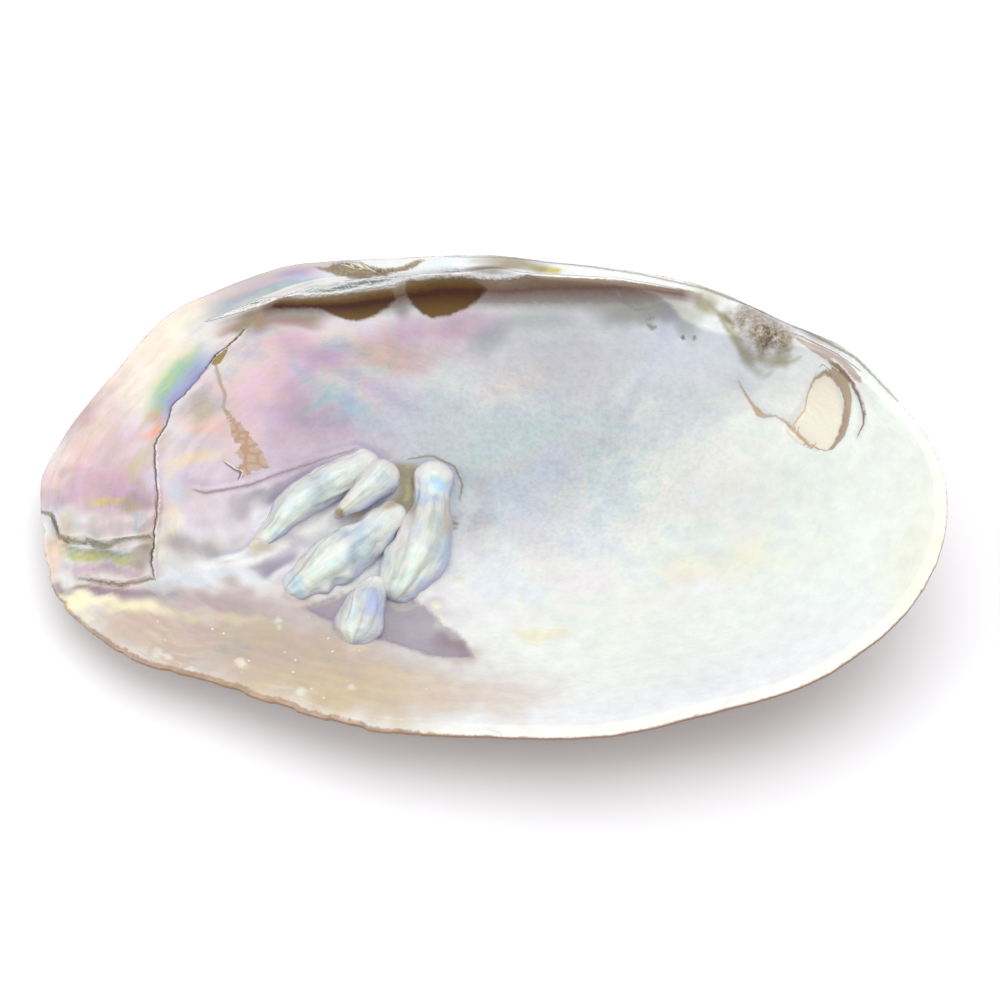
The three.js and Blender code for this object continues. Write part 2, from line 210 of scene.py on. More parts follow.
# Lines: x, y and half width of the stain along each. A line's first side is on the left of its way.
LINES = {
    # The break across the rear end, from the hinge to the belly side, and the one that forks off it
    "crack": [
        (-50.6, 43, 0.1), (-51.9, 41.7, 0.22), (-54.6, 39.4, 0.16), (-56.6, 38, 0.12), (-57.8, 36.2, 0.1),
        (-58.9, 34.1, 0.05), (-60.8, 31.6, 0.02), (-63, 28.8, 0.08), (-65.2, 26.6, 0.08),
        (-66.1, 22.5, 0.12), (-68.4, 18.2, 0.12), (-68.1, 13.7, 0.18), (-67.5, 9.2, 0.1), (-67, 5.9, 0.06),
        (-67, 0.6, 0.08), (-67.2, -6, 0.18), (-66.9, -8.6, 0.1), (-65.9, -12.2, 0.08)],
    "side_crack": [
        (-56.6, 36, 0.1), (-56.2, 34, 0.28), (-55.6, 31.6, 0.34), (-54.6, 29.4, 0.3), (-55, 26.6, 0.22),
        (-53.4, 24.6, 0.3)],
    # Edges of the broken layers beyond the crack
    "upper_step": [
        (-90, 2.2, 0.16), (-87.5, 1.5, 0.24), (-86.3, -1.2, 0.22), (-85.5, -3.5, 0.16), (-82.9, -4.3, 0.18),
        (-80.2, -4.2, 0.12), (-78, -4.9, 0.22), (-76, -4.8, 0.12), (-73.1, -3.7, 0.1), (-70, -3.1, 0.08),
        (-67.6, -2.8, 0.06)],
    "lower_step": [
        (-80.6, -12.8, 0.04), (-77.4, -13.1, 0.18), (-74.4, -13.6, 0.22), (-72.1, -13.8, 0.22),
        (-69.3, -13.2, 0.2), (-66, -12.2, 0.16)],
    # The fold that runs up to the pearls, and the dark nick beside the torn flake
    "fold": [
        (-60.4, 8.6, 0.05), (-57.7, 7.9, 0.2), (-55, 8.7, 0.18), (-52.4, 9.3, 0.12), (-48.8, 10.4, 0.16),
        (-45.9, 12, 0.1), (-41.4, 14.2, 0.04), (-34.6, 17.4, 0), (-28.4, 20, 0.06)],
    "nick": [(-54.6, 15.1, 0.05), (-52.9, 13.8, 0.14), (-51, 12.9, 0.16), (-51.6, 11.2, 0.1)],
    # The dark line of painted shade under the teeth, and the khaki brink of the cusp that it runs on to
    "hinge_shade": [
        (-46.4, 46.4, -0.6), (-43.1, 47.1, 0.2), (-39.1, 47.6, 0.5), (-34.1, 48.1, 0.5), (-27, 48.9, 0.5),
        (-20.3, 49.8, 0.5), (-17.6, 50.4, 0.5), (-10.2, 51, 0.5), (-0.7, 51.1, 0.5), (5.3, 50.8, 0.5),
        (13.2, 49.7, 0.5), (21.2, 48.9, 0.5), (27.4, 48, 0.4), (33.9, 46.7, 0.3), (39.6, 45.4, 0.2),
        (43.6, 44.2, -0.8)],
    "cusp_brink": [
        (41.6, 45.8, 0.05), (44.8, 43.5, 0.2), (47.4, 40.2, 0.4), (49.2, 36, 0.5), (51, 33.4, 0.4),
        (53.8, 31.7, 0.3), (57.6, 30.6, 0.3), (61.2, 30.1, 0.2), (63.4, 30.3, 0.05)],
    # Fine pale strands along the lateral teeth, and the slate band between them
    "strand": [
        (-59, 44.8, 0.05), (-54.7, 45.8, 0.22), (-50.5, 46.8, 0.26), (-44.2, 48.4, 0.2), (-37.6, 49.6, 0.2),
        (-27.7, 50.8, 0.18), (-21, 51.6, 0.22), (-16.2, 52.2, 0.18), (-9.7, 52.4, 0.22), (2.6, 52.5, 0.2),
        (11, 51.6, 0.22), (18.2, 50.7, 0.26), (26.4, 49.9, 0.24), (34, 48, 0.16), (40, 46.4, 0.05)],
    "upper_strand": [
        (-56.9, 45.4, 0.04), (-51.5, 47.3, 0.14), (-46.9, 48.4, 0.16), (-36.8, 50.4, 0.14),
        (-23.3, 52.2, 0.16), (-13.9, 53, 0.14), (-5.6, 53.6, 0.04)],
    "slate_band": [
        (-36.2, 49.9, 0.05), (-31, 50.8, 0.25), (-26, 51.4, 0.35), (-21.5, 51.9, 0.25),
        (-18.6, 52.3, 0.05)],
    # Cream streaks across the feathered marks on the wing
    "rear_streak": [(-31.4, 56.9, 0.05), (-29.2, 56, 0.25), (-26.6, 54.9, 0.05)],
    "long_streak": [(-30, 57.3, 0.1), (-27.6, 56.4, 0.3), (-25.2, 55, 0.05)],
    "middle_streak": [(-26.5, 56.9, 0.05), (-25, 55.3, 0.28), (-22.7, 53.9, 0.05)],
    "fine_streak": [(-22.4, 55, 0.15), (-21, 53.5, 0.05)],
    "short_streak": [(-19.9, 55, 0.2), (-18.8, 54.1, 0.05)],
    "front_streak": [(-16.2, 55.8, 0.18), (-15.5, 55, 0.05)],
    # The strip of outer skin along the hinge's edge
    "rim_skin": [
        (-9.5, 57.2, 0.03), (3.1, 56.3, 0.12), (9.9, 55.1, 0.14), (21.3, 53, 0.14), (31.5, 50.6, 0.14),
        (43.7, 46.8, 0.16), (54, 41.8, 0.3), (64, 35.8, 0.34), (74, 29, 0.28), (82, 18.5, 0.08)],
    # The muscle scars: the crescent beside the large one, the step beyond it, and the small one before it
    "crescent": [
        (69, 27.2, 0.4), (71.6, 24.3, 0.9), (72.3, 21.6, 0.8), (72, 18.4, 0.5), (70.8, 15.6, 0.8),
        (68.6, 13.2, 0.3)],
    "scar_step": [
        (68.6, 28.2, 0.05), (70.5, 26.9, 0.18), (72.9, 24, 0.16), (74.5, 20.9, 0.18), (75.2, 18.1, 0.22),
        (75, 16.2, 0.16), (73.7, 14.2, 0.05)],
    "pedal": [
        (50.6, 29.9, 0.05), (52.5, 27.2, 0.2), (53.6, 25.6, 0.24), (54.4, 24.4, 0.6), (55.6, 23.4, 0.3),
        (57.8, 23, 0.1), (61.1, 20.1, 0.24), (62.6, 18.1, 0.34), (64.9, 15.4, 0.16)],
    "scar_edge": [
        (68.6, 27, 0.3), (70.4, 25.3, 0.1), (71.7, 21.7, 0.12), (70.9, 17.7, 0.16), (69, 14.2, 0.18),
        (67.6, 13.3, 0.1), (64.1, 16.1, 0.12), (62.6, 18.3, 0.05), (61.3, 20.6, 0.04), (63.8, 22.7, 0.05),
        (64.5, 25.4, 0.05), (66, 27, 0.16), (68.4, 27.3, 0.24)],
    # Small pits and chips in the wall behind the cusp
    "left_pit": [(39.5, 38, 0.3), (40.2, 37.6, 0.34)],
    "right_pit": [(41.9, 37.1, 0.26), (42.4, 36.8, 0.28)],
    "chip": [(26.4, 48, 0.06), (27.3, 47.3, 0.3), (27.5, 46.6, 0.14), (29.4, 46, 0.04)],
    "wall_arc": [(29, 45.6, 0.02), (32, 44.8, 0.16), (35.4, 44.3, 0.18), (38.6, 42.6, 0.02)],
    "wall_lump": [(32.4, 43.2, 0.1), (33.2, 42.4, 0.34), (34.4, 42, 0.16)],
    # The pinkish crest beyond the cusp, and the line along it
    "crest": [(62.6, 33, 0.3), (67.5, 30.2, 1), (70.9, 27.8, 1.1), (74.8, 23.4, 0.4)],
    "crest_line": [(61.6, 34.6, 0.05), (66, 32.4, 0.12), (70.4, 29.8, 0.1), (75, 25.4, 0.04)],
    # The tail of nacre that runs out from the left pearl
    "tail": [(-45.4, -2.6, 0.9), (-48.6, -4.6, 0.7), (-52, -6.2, 0.5), (-56, -7.6, 0.2)],
    # The thin brown seam round the head of the right pearl
    "collar": [
        (-18.6, 18.8, 0.1), (-13.4, 20.2, 0.22), (-8.6, 18, 0.2), (-6.9, 13.9, 0.2), (-7.4, 10, 0.1)],
}

# Lines that share one treatment, each with its own colour: breaks and steps are thin and dark, seams tan
# and a little softer, shades wide and faint, and strands pale
FAMILIES = {
    "breaks": [
        ("crack", "#4a3728"), ("scar_step", "#8f6b58"), ("nick", "#6b5668"), ("crest_line", "#7d6a62")],
    "steps": [("upper_step", "#93836e"), ("lower_step", "#8d6c52")],
    "seams": [
        ("side_crack", "#a8846c"), ("pedal", "#b09070"), ("scar_edge", "#9a7648"), ("crescent", "#a98868"),
        ("collar", "#8a7044"), ("crest", "#b09690"), ("rim_skin", "#8a8078"), ("slate_band", "#7a848b"),
        ("fold", "#94788a"), ("left_pit", "#7c6c66"), ("right_pit", "#8a7c78"), ("chip", "#8f8486"),
        ("wall_arc", "#9d9896"), ("wall_lump", "#98937c")],
    # The shades: painted shade under the upper step and beside the fold, and the khaki of the cusp's brink
    "shades": [("cusp_brink", "#9a8e74"), ("upper_step", "#7c7060"), ("fold", "#9c90a8")],
    "strands": [
        ("strand", "#f4f0ee"), ("upper_strand", "#e8eef0"), ("rear_streak", "#ded4ba"),
        ("long_streak", "#e6dfcc"), ("middle_streak", "#ded4ba"), ("fine_streak", "#d6ccb0"),
        ("short_streak", "#d6ccb0"), ("front_streak", "#d6ccb0")],
}
# How far from a line its family's treatment may reach, in millimetres
FAMILY_REACH = {"breaks": 0.8, "steps": 0.8, "seams": 0.8, "shades": 2.0, "strands": 0.8}

# Patches: outlines, each a different colour from the nacre round it
PATCHES = {
    "stain_rear": [
        (-44.8, 47), (-41, 48.2), (-37, 49.2), (-32.9, 49.9), (-28.8, 50.3), (-24.6, 50.7), (-20.1, 51.1),
        (-19.6, 49.6), (-22, 48.2), (-24.1, 47), (-27.3, 46.1), (-29.3, 45.9), (-32.3, 46.4), (-34.8, 47.3),
        (-37.1, 47.4), (-44.1, 46.6)],
    "stain_front": [
        (-16.9, 52.2), (-9.8, 52.2), (-3, 52.3), (-0.4, 51.3), (-2.8, 49.8), (-5, 48.8), (-8.7, 47.8),
        (-12.5, 47.4), (-14.9, 48.1), (-16.5, 49.4), (-17.4, 50.8)],
    "feather": [
        (-36.5, 56.3), (-33.5, 55.9), (-32.5, 56.8), (-28.8, 57), (-25.6, 56.1), (-21.9, 55), (-18.3, 55.1),
        (-14.6, 56.7), (-13, 56.7), (-14.6, 55.4), (-17.1, 54.1), (-21.3, 53), (-26.4, 52.2), (-29.6, 52.9),
        (-32.4, 54.3)],
    "flake": [
        (-55, 27), (-53.2, 25.2), (-50.9, 22.7), (-49.1, 20.6), (-47.1, 17.8), (-45.3, 14.4), (-48.3, 13.7),
        (-51, 11.6), (-51.9, 13.5), (-50.8, 15.3), (-52.2, 17.3), (-51.4, 18.9), (-53.1, 20.2),
        (-53.6, 22.9)],
    "crack_gap": [
        (-53.7, 39.6), (-54.8, 39.2), (-56.6, 38), (-57.7, 36.4), (-57.5, 35.4), (-56.1, 35.4),
        (-55.2, 36.8), (-54.4, 38.2)],
    "cusp_rough": [
        (50.2, 40.2), (52.6, 42.2), (56, 40.8), (59.2, 37.6), (62.4, 33.4), (61, 31.4), (56.9, 31.8),
        (53.7, 32.8), (51.8, 34.8), (50.4, 37.5)],
    "scar": [
        (68.9, 26.8), (70.3, 25.1), (71.1, 22.3), (71.6, 18.7), (70.5, 15.8), (68.4, 13.4), (65.5, 14.3),
        (62.6, 16.4), (59.9, 19.6), (62, 22), (63.7, 23.9), (64.4, 25.9), (66.6, 27.1)],
    "hollow_patch": [
        (-36.7, -17.2), (-34.2, -18.8), (-30.3, -20.6), (-25, -23.6), (-20, -24.8), (-15, -26.7),
        (-10.9, -28.4), (-7.2, -28.6), (-2.5, -28.6), (-4.4, -25), (-6.4, -22.3), (-9, -20.4), (-14, -15),
        (-20, -12), (-27, -12)],
    "conchiolin": [
        (-20.6, 17.8), (-16.6, 18.2), (-15.2, 14), (-16.2, 9.6), (-16.6, 5.6), (-17.6, 1.6), (-20.4, 3.6),
        (-21.4, 8), (-19.4, 11)],
}


def line_field(x, y, line):
    """Signed distance to a line, half width of its stain at the nearest point, and the way along it"""
    nearest = np.full_like(x, np.inf)
    field = np.zeros((3,) + x.shape)
    way = 0
    last = len(line) - 2
    for index, ((ax, ay, start_width), (bx, by, end_width)) in enumerate(zip(line, line[1:])):
        length = math.hypot(bx - ax, by - ay)
        ux, uy = (bx - ax) / length, (by - ay) / length
        forward = (x - ax) * ux + (y - ay) * uy
        held = np.clip(forward, 0, length)
        distance = np.hypot(x - ax - held * ux, y - ay - held * uy)
        side = np.sign(ux * (y - ay) - uy * (x - ax))
        width = start_width + (end_width - start_width) * held / length
        beyond = (index == 0) * np.minimum(forward, 0) - (index == last) * np.maximum(forward - length, 0)
        nearer = distance < nearest
        field = np.where(nearer, (side * distance, width + beyond, way + held), field)
        nearest = np.minimum(nearest, distance)
        way += length
    return field


def family_field(fields, family, reach):
    """Signed distance to a family's nearest line, its half width, and the share that picks its colour"""
    lines = np.array([fields[name] for name, colour in family])
    nearest = (lines[:, 1] - np.abs(lines[:, 0])).argmax(axis=0)
    distance, width, way = np.take_along_axis(lines, nearest[None, None], axis=0)[0]
    return distance, width - np.maximum(0, np.abs(distance) - reach), (nearest + 0.5) / len(family)


def patch_field(x, y, outline):
    """Distance to the edge of a patch, positive inside it"""
    nearest = np.full_like(x, np.inf)
    inside = np.zeros(x.shape, bool)
    for (ax, ay), (bx, by) in zip(outline, outline[1:] + outline[:1]):
        length = math.hypot(bx - ax, by - ay)
        ux, uy = (bx - ax) / length, (by - ay) / length
        held = np.clip((x - ax) * ux + (y - ay) * uy, 0, length)
        nearest = np.minimum(nearest, np.hypot(x - ax - held * ux, y - ay - held * uy))
        crosses = (ay > y) != (by > y)
        inside ^= crosses & (x < (bx - ax) * (y - ay) / (by - ay + 1e-12) + ax)
    return np.where(inside, nearest, -nearest)


# The pearls, as in the CAD model: x, y, lift of the middle above the hollow's floor, and radius
PEARLS = {
    "pearl_drop": [(-22.8, 12.6, 3.8, 3.9), (-26.5, 8, 4.4, 2.7), (-30.6, 3.4, 4.4, 1.1)],
    "pearl_right": [
        (-12.6, 13.4, 2.8, 4.2), (-12.8, 8.6, 2.2, 3.5), (-13.4, 3, 2.4, 4.7), (-15.2, -4.8, 2.2, 5.6),
        (-18, -11.6, 1.6, 3.8)],
    "pearl_middle": [
        (-20.6, 5.2, 2, 3), (-26, -1, 2.2, 4.4), (-32.4, -7.2, 1.9, 4.9), (-38, -12.2, 1.4, 3.2)],
    "pearl_left": [(-26.4, 16.6, 2, 3), (-33.5, 11.5, 1.9, 3.6), (-40, 6, 1.7, 3.4), (-46.2, -2.4, 1, 1.5)],
    "pearl_small": [(-22.8, -12, 1.6, 2.4), (-24.6, -17, 1.6, 3.9), (-25.6, -22.8, 1.5, 3.9)],
}


def pearl_clearance(x, y):
    """Distance from the side of the nearest pearl, negative under it"""
    clearance = np.full_like(x, np.inf)
    for line in PEARLS.values():
        route = curve_through(line, 6, closed=False)
        for route_x, route_y, lift, radius in route:
            clearance = np.minimum(clearance, np.hypot(x - route_x, y - route_y) - radius)
    return clearance


# Relief of the nacre face


def teeth(x, y, place):
    """The two lateral teeth and the rough cusp tooth with the ridge that runs on from it"""
    span = smooth(x, -62, -48) * (1 - smooth(x, -2, 12)) * (y > CENTRE_Y)
    sway = 0.02 * np.sin(x / 6)
    lateral = 1.3 * np.exp(-((place - 0.07 - sway) / 0.06) ** 2)
    lateral = lateral + np.exp(-((place - 0.28 + sway) / 0.08) ** 2)
    fan = np.arctan2(y - 30.5, x - 51)
    ribs = np.abs(np.sin(fan * 6 + 0.35 * ripples(x, y, 5, 3)))
    pits = ripples(x, y, 2.6, 4)
    cusp = spot(x, y, 57, 35, 8, 4.5, -28) * (1.95 + 0.9 * ribs + 0.35 * pits)
    roll = 1.2 * spot(x, y, 71, 27, 8, 2.2, -38)
    return span * lateral + cusp + roll


def broken_layers(fields):
    """Steps and lips where layers of nacre broke at the rear end"""
    crack, crack_width, way = fields["crack"]
    lift = -0.4 + 1.3 * smooth(way, 20, 48)
    height = np.where(crack < 0, lift * np.exp(-np.abs(crack) / 7), 0)
    height = height + 0.3 * np.exp(-((crack - 0.9) / 0.7) ** 2) * (1 - smooth(way, 24, 34))
    step, width, way = fields["upper_step"]
    near = smooth(width, -1.0, 0.1)
    height = height + near * np.where(step < 0, -1.9 * np.exp(step / 2.6), 0.6 * np.exp(-step / 3.0))
    step, width, way = fields["lower_step"]
    near = smooth(width, -1.5, 0.1)
    lip = 0.8 * np.exp(-((step - 1.5) / 4) ** 2)
    height = height + near * np.where(step > 0, lip, -0.5 * np.exp(step / 1.5))
    fold, width, way = fields["fold"]
    near = smooth(width, -3, 0.1)
    swell = 0.35 * np.exp(-((fold - 0.9) / 1.0) ** 2)
    return height + near * (swell - 0.2 * np.exp(-((fold + 0.8) / 0.8) ** 2))


# Pits in the wall behind the cusp and under the teeth
PITS = [(40.2, 37.7), (42.8, 36.6), (27.4, 47.2), (33.4, 42.4), (24.6, 48.0), (30.6, 45.4), (35.4, 43.4)]


def scars(x, y, fields, patches):
    """The muscle scar, its stepped edge and the small scar that runs up to it"""
    height = -1.1 * smooth(patches["scar"], -0.5, 0.3)
    step, width, way = fields["scar_step"]
    near = smooth(width, -1, 0.1)
    height = height + near * np.where(step < 0, -0.5, 0.5 * np.exp(-step / 1.2)) * np.exp(-(step / 3) ** 2)
    pedal, width, way = fields["pedal"]
    height = height - 0.5 * smooth(width, -0.4, 0.3) * np.exp(-(pedal / 0.9) ** 2)
    for pit_x, pit_y in PITS:
        height = height - 0.5 * spot(x, y, pit_x, pit_y, 1.1, 0.7, -20)
    return height


# Small lumps of nacre: x, y, radius and rise
LUMPS = [
    (-10.8, -15.3, 1.5, 0.8), (-10.5, -19.3, 1.6, 0.9), (-6.8, -9.4, 1.1, 0.5), (-46.9, -3.4, 1.3, 1.4),
    (-63.2, -29.4, 1.2, 0.6), (-61.2, -30, 0.8, 0.4), (-47.1, -31.2, 1.1, 0.7), (-41.2, -20.6, 0.8, 0.5),
    (-40.8, -22.2, 0.6, 0.4), (-56.4, -33, 0.8, 0.4), (-34.6, -38, 1, 0.5), (-25.3, -36.6, 0.8, 0.4),
    (5.8, -13.9, 0.7, 0.3),
]


def round_pearls(x, y, patches, fields):
    """Nacre drawn up round the pearls, the hollowed patch below them, and small lumps"""
    clearance = pearl_clearance(x, y)
    height = 1.2 * np.exp(-np.maximum(clearance, 0) / 1.0)
    height = height + 0.5 * spot(x, y, -28, 14, 14, 4, 25)
    height = height - 0.55 * smooth(patches["hollow_patch"], -0.8, 0.8)
    tail, width, way = fields["tail"]
    height = height + 0.9 * smooth(width, -0.2, 0.6) * np.exp(-(tail / 1.0) ** 2)
    for lump_x, lump_y, radius, rise in LUMPS:
        height = height + rise * spot(x, y, lump_x, lump_y, radius, radius)
    return height


def growth_flakes(x, y, rim_distance):
    """Thin layer edges that run along the rim, plainest at the rear of the belly side"""
    area = smooth(-y, -2, 22) * (1 - smooth(x, -20, 30)) * (1 - smooth(rim_distance, 10, 26))
    wander = rim_distance + 1.2 * ripples(x, y, 16, 8)
    saw = (wander / 3.4) % 1
    return area * 0.28 * (smooth(saw, 0.0, 0.16) - saw)


def waves(x, y):
    """Slow waves of the nacre, strong on the wing and at the rear end and faint at the front"""
    strength = 0.12 + 0.5 * (1 - smooth(x, -75, -20)) + 0.25 * smooth(y, 25, 50) * (1 - smooth(x, -10, 30))
    return strength * (0.55 * ripples(x, y, 26, 1) + 0.2 * ripples(x, y, 9, 2))


def nacre_height(x, y, fields, patches):
    angle, reach = from_centre(x, y)
    radius, border, broad = rim_at(angle)
    place = np.minimum(1, (reach - radius + border) / border)
    to_rim = 1 - np.maximum(0, place) ** 4
    inland = smooth(radius - reach, 0.2, 5)
    relief = to_rim * (teeth(x, y, place) + scars(x, y, fields, patches))
    relief = relief + inland * (broken_layers(fields) + waves(x, y)) + round_pearls(x, y, patches, fields)
    return plain_hollow(x, y) + relief + growth_flakes(x, y, radius - reach)


# Relief of the outer face

# Shares of the full size at which growth rested and left a ledge
GROWTH_RESTS = (
    0.985, 0.955, 0.93, 0.895, 0.87, 0.83, 0.8, 0.75, 0.71, 0.655, 0.6, 0.54, 0.47, 0.4, 0.31)


def back_height(x, y, growth, turn):
    """Growth ledges, each a little step down towards the rim, on a slightly uneven face"""
    ledges = np.zeros_like(x)
    wander = 0.006 * np.sin(turn * 2 * math.pi * 7) + 0.004 * np.sin(turn * 2 * math.pi * 17 + 2)
    for index, rest in enumerate(GROWTH_RESTS):
        ledge = 0.28 + 0.2 * math.sin(index * 2.4)
        after = growth - rest - wander
        ledges += ledge * np.exp(-np.abs(after) / 0.012) * (after < 0)
    uneven = 0.25 * ripples(x, y, 18, 5) * smooth(1 - growth, 0, 0.1)
    return plain_back(x, y) - ledges * smooth(1 - growth, 0, 0.03) - uneven


# Laying the shell at rest

REST_TURN = Matrix.Rotation(REST_TILT, 3, "X") @ Matrix.Rotation(-REST_ROLL, 3, "Y")


def rest_shift():
    """Where the shell's own origin lies, in millimetres, so that the rim fits the CAD valve's box"""
    turn = np.array(REST_TURN)
    rim = np.column_stack([RIM_CURVE[:, :2], np.zeros(len(RIM_CURVE))]) @ turn.T
    low, high = (np.array(corner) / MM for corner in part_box("valve"))
    middle = (rim.min(axis=0) + rim.max(axis=0)) / 2
    grid = np.meshgrid(np.arange(-30, 40, 1.0), np.arange(-20, 40, 1.0))
    grid_x, grid_y = (axis.ravel() for axis in grid)
    back = np.column_stack([grid_x, grid_y, plain_back(grid_x, grid_y)]) @ turn.T
    rise = low[2] - back[:, 2].min() - REST_FLAT_DEPTH
    return np.array([(low[0] + high[0]) / 2 - middle[0], (low[1] + high[1]) / 2 - middle[1], rise])


REST_SHIFT = rest_shift()


def at_rest(points):
    """Points in the shell's frame, in millimetres, to points of the scene, in metres"""
    placed = points @ np.array(REST_TURN).T + REST_SHIFT
    placed[:, 2] = np.maximum(placed[:, 2], 0)
    return placed * MM


# Making the meshes


def read_points(mesh):
    points = np.empty(len(mesh.vertices) * 3)
    mesh.vertices.foreach_get("co", points)
    return points.reshape(-1, 3)


def write_points(mesh, points):
    mesh.vertices.foreach_set("co", points.ravel())
    mesh.update()


def write_attribute(mesh, name, values):
    """Stores a number, or three, on each point of a mesh for its material to read"""
    values = np.asarray(values, float)
    kind, slot = ("FLOAT_VECTOR", "vector") if values.ndim == 2 else ("FLOAT", "value")
    attribute = mesh.attributes.new(name, kind, "POINT")
    attribute.data.foreach_set(slot, values.ravel())


def add_piece(name, shape, node, material):
    """Puts a finished bmesh in the scene in place of a CAD node"""
    mesh = bpy.data.meshes.new(name)
    shape.to_mesh(mesh)
    shape.free()
    mesh.shade_smooth()
    mesh.materials.append(material)
    piece = bpy.data.objects.new(name, mesh)
    bpy.context.scene.collection.objects.link(piece)
    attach(piece, "root")
    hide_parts(node)
    return piece


# The valve's skin is spun from a profile: the hollow at height 0, the rim between, the back at height -1.
# The rings of the hollow crowd towards its edge.
SPOKES = 480
HOLLOW_RINGS = 96
BORDER_RINGS = 24
EDGE_RINGS = 6
BACK_RINGS = 60
HOLLOW_SHARE = 0.8
CROWDING = 1.25


def valve_profile():
    """Share of the way out and height of each ring, from the hollow's middle round to the back's"""
    hollow = [((1 - (1 - ring / HOLLOW_RINGS) ** CROWDING) * HOLLOW_SHARE, 0)
              for ring in range(HOLLOW_RINGS + 1)]
    border = [(HOLLOW_SHARE + (1 - HOLLOW_SHARE) * ring / BORDER_RINGS, 0)
              for ring in range(1, BORDER_RINGS + 1)]
    edge = [(1, -ring / EDGE_RINGS) for ring in range(1, EDGE_RINGS + 1)]
    back = [(1 - ring / BACK_RINGS, -1) for ring in range(1, BACK_RINGS + 1)]
    return hollow + border + edge + back


def valve_shape():
    shape = bmesh.new()
    profile = [shape.verts.new((share, 0, height)) for share, height in valve_profile()]
    edges = [shape.edges.new(pair) for pair in zip(profile, profile[1:])]
    bmesh.ops.spin(shape, geom=profile + edges, cent=(0, 0, 0), axis=(0, 0, 1), angle=2 * math.pi,
                   steps=SPOKES, use_merge=True)
    bmesh.ops.remove_doubles(shape, verts=shape.verts, dist=1e-5)
    bmesh.ops.recalc_face_normals(shape, faces=shape.faces)
    return shape


# Takes the nacre's lines and patches off the outer face, in millimetres
OFF_BACK = 20

# The nacre's streaks follow the growth lines: about 10 mm long and this wide, in millimetres
FLOW_TURN = 7.3
FLOW_WIDTH = 2.3


def worn_rim(turns):
    """The rim's points, with small chips broken out of its rear and belly sides"""
    rim = np.column_stack([np.interp(turns, RIM_WAY, RIM_CURVE[:, axis]) for axis in range(3)])
    x, y = rim[:, 0], rim[:, 1]
    worn = (1 - smooth(x, -30, 10)) * smooth(-y, -10, 10)
    chips = 0.12 + 0.45 * worn * smooth(ripples(x, y, 5, 11), 0.1, 0.7)
    chips += 0.10 * np.abs(ripples(x, y, 9, 12))
    angle, reach = from_centre(x, y)
    rim[:, 0] -= chips * np.cos(angle)
    rim[:, 1] -= chips * np.sin(angle)
    return rim


def mark_valve(mesh, fields, patches, on_back):
    """Stores where the valve's lines and patches lie, for its material"""
    for field in fields.values():
        field[1] -= OFF_BACK * on_back
    for name, family in FAMILIES.items():
        write_attribute(mesh, name, np.column_stack(family_field(fields, family, FAMILY_REACH[name])))
    write_attribute(mesh, "beside_crack", fields["crack"][0])
    write_attribute(mesh, "under_teeth", fields["hinge_shade"].T)
    for name, field in patches.items():
        write_attribute(mesh, name, field - OFF_BACK * on_back)


def make_valve(material):
    """Lays the spun skin out between the rim, the hollow and the back"""
    valve = add_piece("valve_nacre", valve_shape(), "valve", material)
    spun = read_points(valve.data)
    share = np.clip(np.hypot(spun[:, 0], spun[:, 1]), 0, 1)
    height = spun[:, 2]
    turns = (np.arctan2(spun[:, 1], spun[:, 0]) / (2 * math.pi)) % 1
    rim = worn_rim(turns)
    on_hollow = height > -0.01
    on_back = height < -0.99
    to_rim_x, to_rim_y = rim[:, 0] - CENTRE_X, rim[:, 1] - CENTRE_Y
    radius, border = np.hypot(to_rim_x, to_rim_y), rim[:, 2]
    border_place = np.clip((share - HOLLOW_SHARE) / (1 - HOLLOW_SHARE), 0, 1)
    on_border = radius - border * (1 - border_place)
    reach = np.where(share < HOLLOW_SHARE, share / HOLLOW_SHARE * (radius - border), on_border)
    x = np.where(on_back, BEAK_X + (rim[:, 0] - BEAK_X) * share, CENTRE_X + to_rim_x * reach / radius)
    y = np.where(on_back, BEAK_Y + (rim[:, 1] - BEAK_Y) * share, CENTRE_Y + to_rim_y * reach / radius)
    edge_bulge = 0.08 * np.sin(-height * math.pi) * (~on_hollow & ~on_back)
    x, y = x + edge_bulge * to_rim_x / radius, y + edge_bulge * to_rim_y / radius
    fields = {name: line_field(x, y, line) for name, line in LINES.items()}
    patches = {name: patch_field(x, y, outline) for name, outline in PATCHES.items()}
    top = nacre_height(x, y, fields, patches)
    under = back_height(x, y, share, turns)
    edge = top + (under - top) * -height
    z = np.where(on_hollow, top, np.where(on_back, under, edge))
    write_points(valve.data, at_rest(np.column_stack([x, y, z])))
    write_attribute(valve.data, "place", np.column_stack([x, y, z]))
    rim_distance = np.where(on_hollow, radius - reach, 0)
    write_attribute(valve.data, "layer", np.column_stack([-height, share, rim_distance]))
    flow_x, flow_y = (FLOW_TURN * reach / radius * wave(turns * 2 * math.pi) for wave in (np.cos, np.sin))
    across_flow = 40 * np.tanh((radius - reach) / 40)
    write_attribute(valve.data, "flow", np.column_stack([flow_x, flow_y, across_flow / FLOW_WIDTH]))
    write_attribute(valve.data, "ground", nacre_ground(x, y))
    mark_valve(valve.data, fields, patches, on_back)


# How broad and how low each pearl lies, as shares of its radius
PEARL_FORM = {
    "pearl_drop": (1.0, 0.95), "pearl_right": (1.05, 0.85), "pearl_middle": (1.12, 0.75),
    "pearl_left": (1.15, 0.75), "pearl_small": (1.05, 0.85),
}
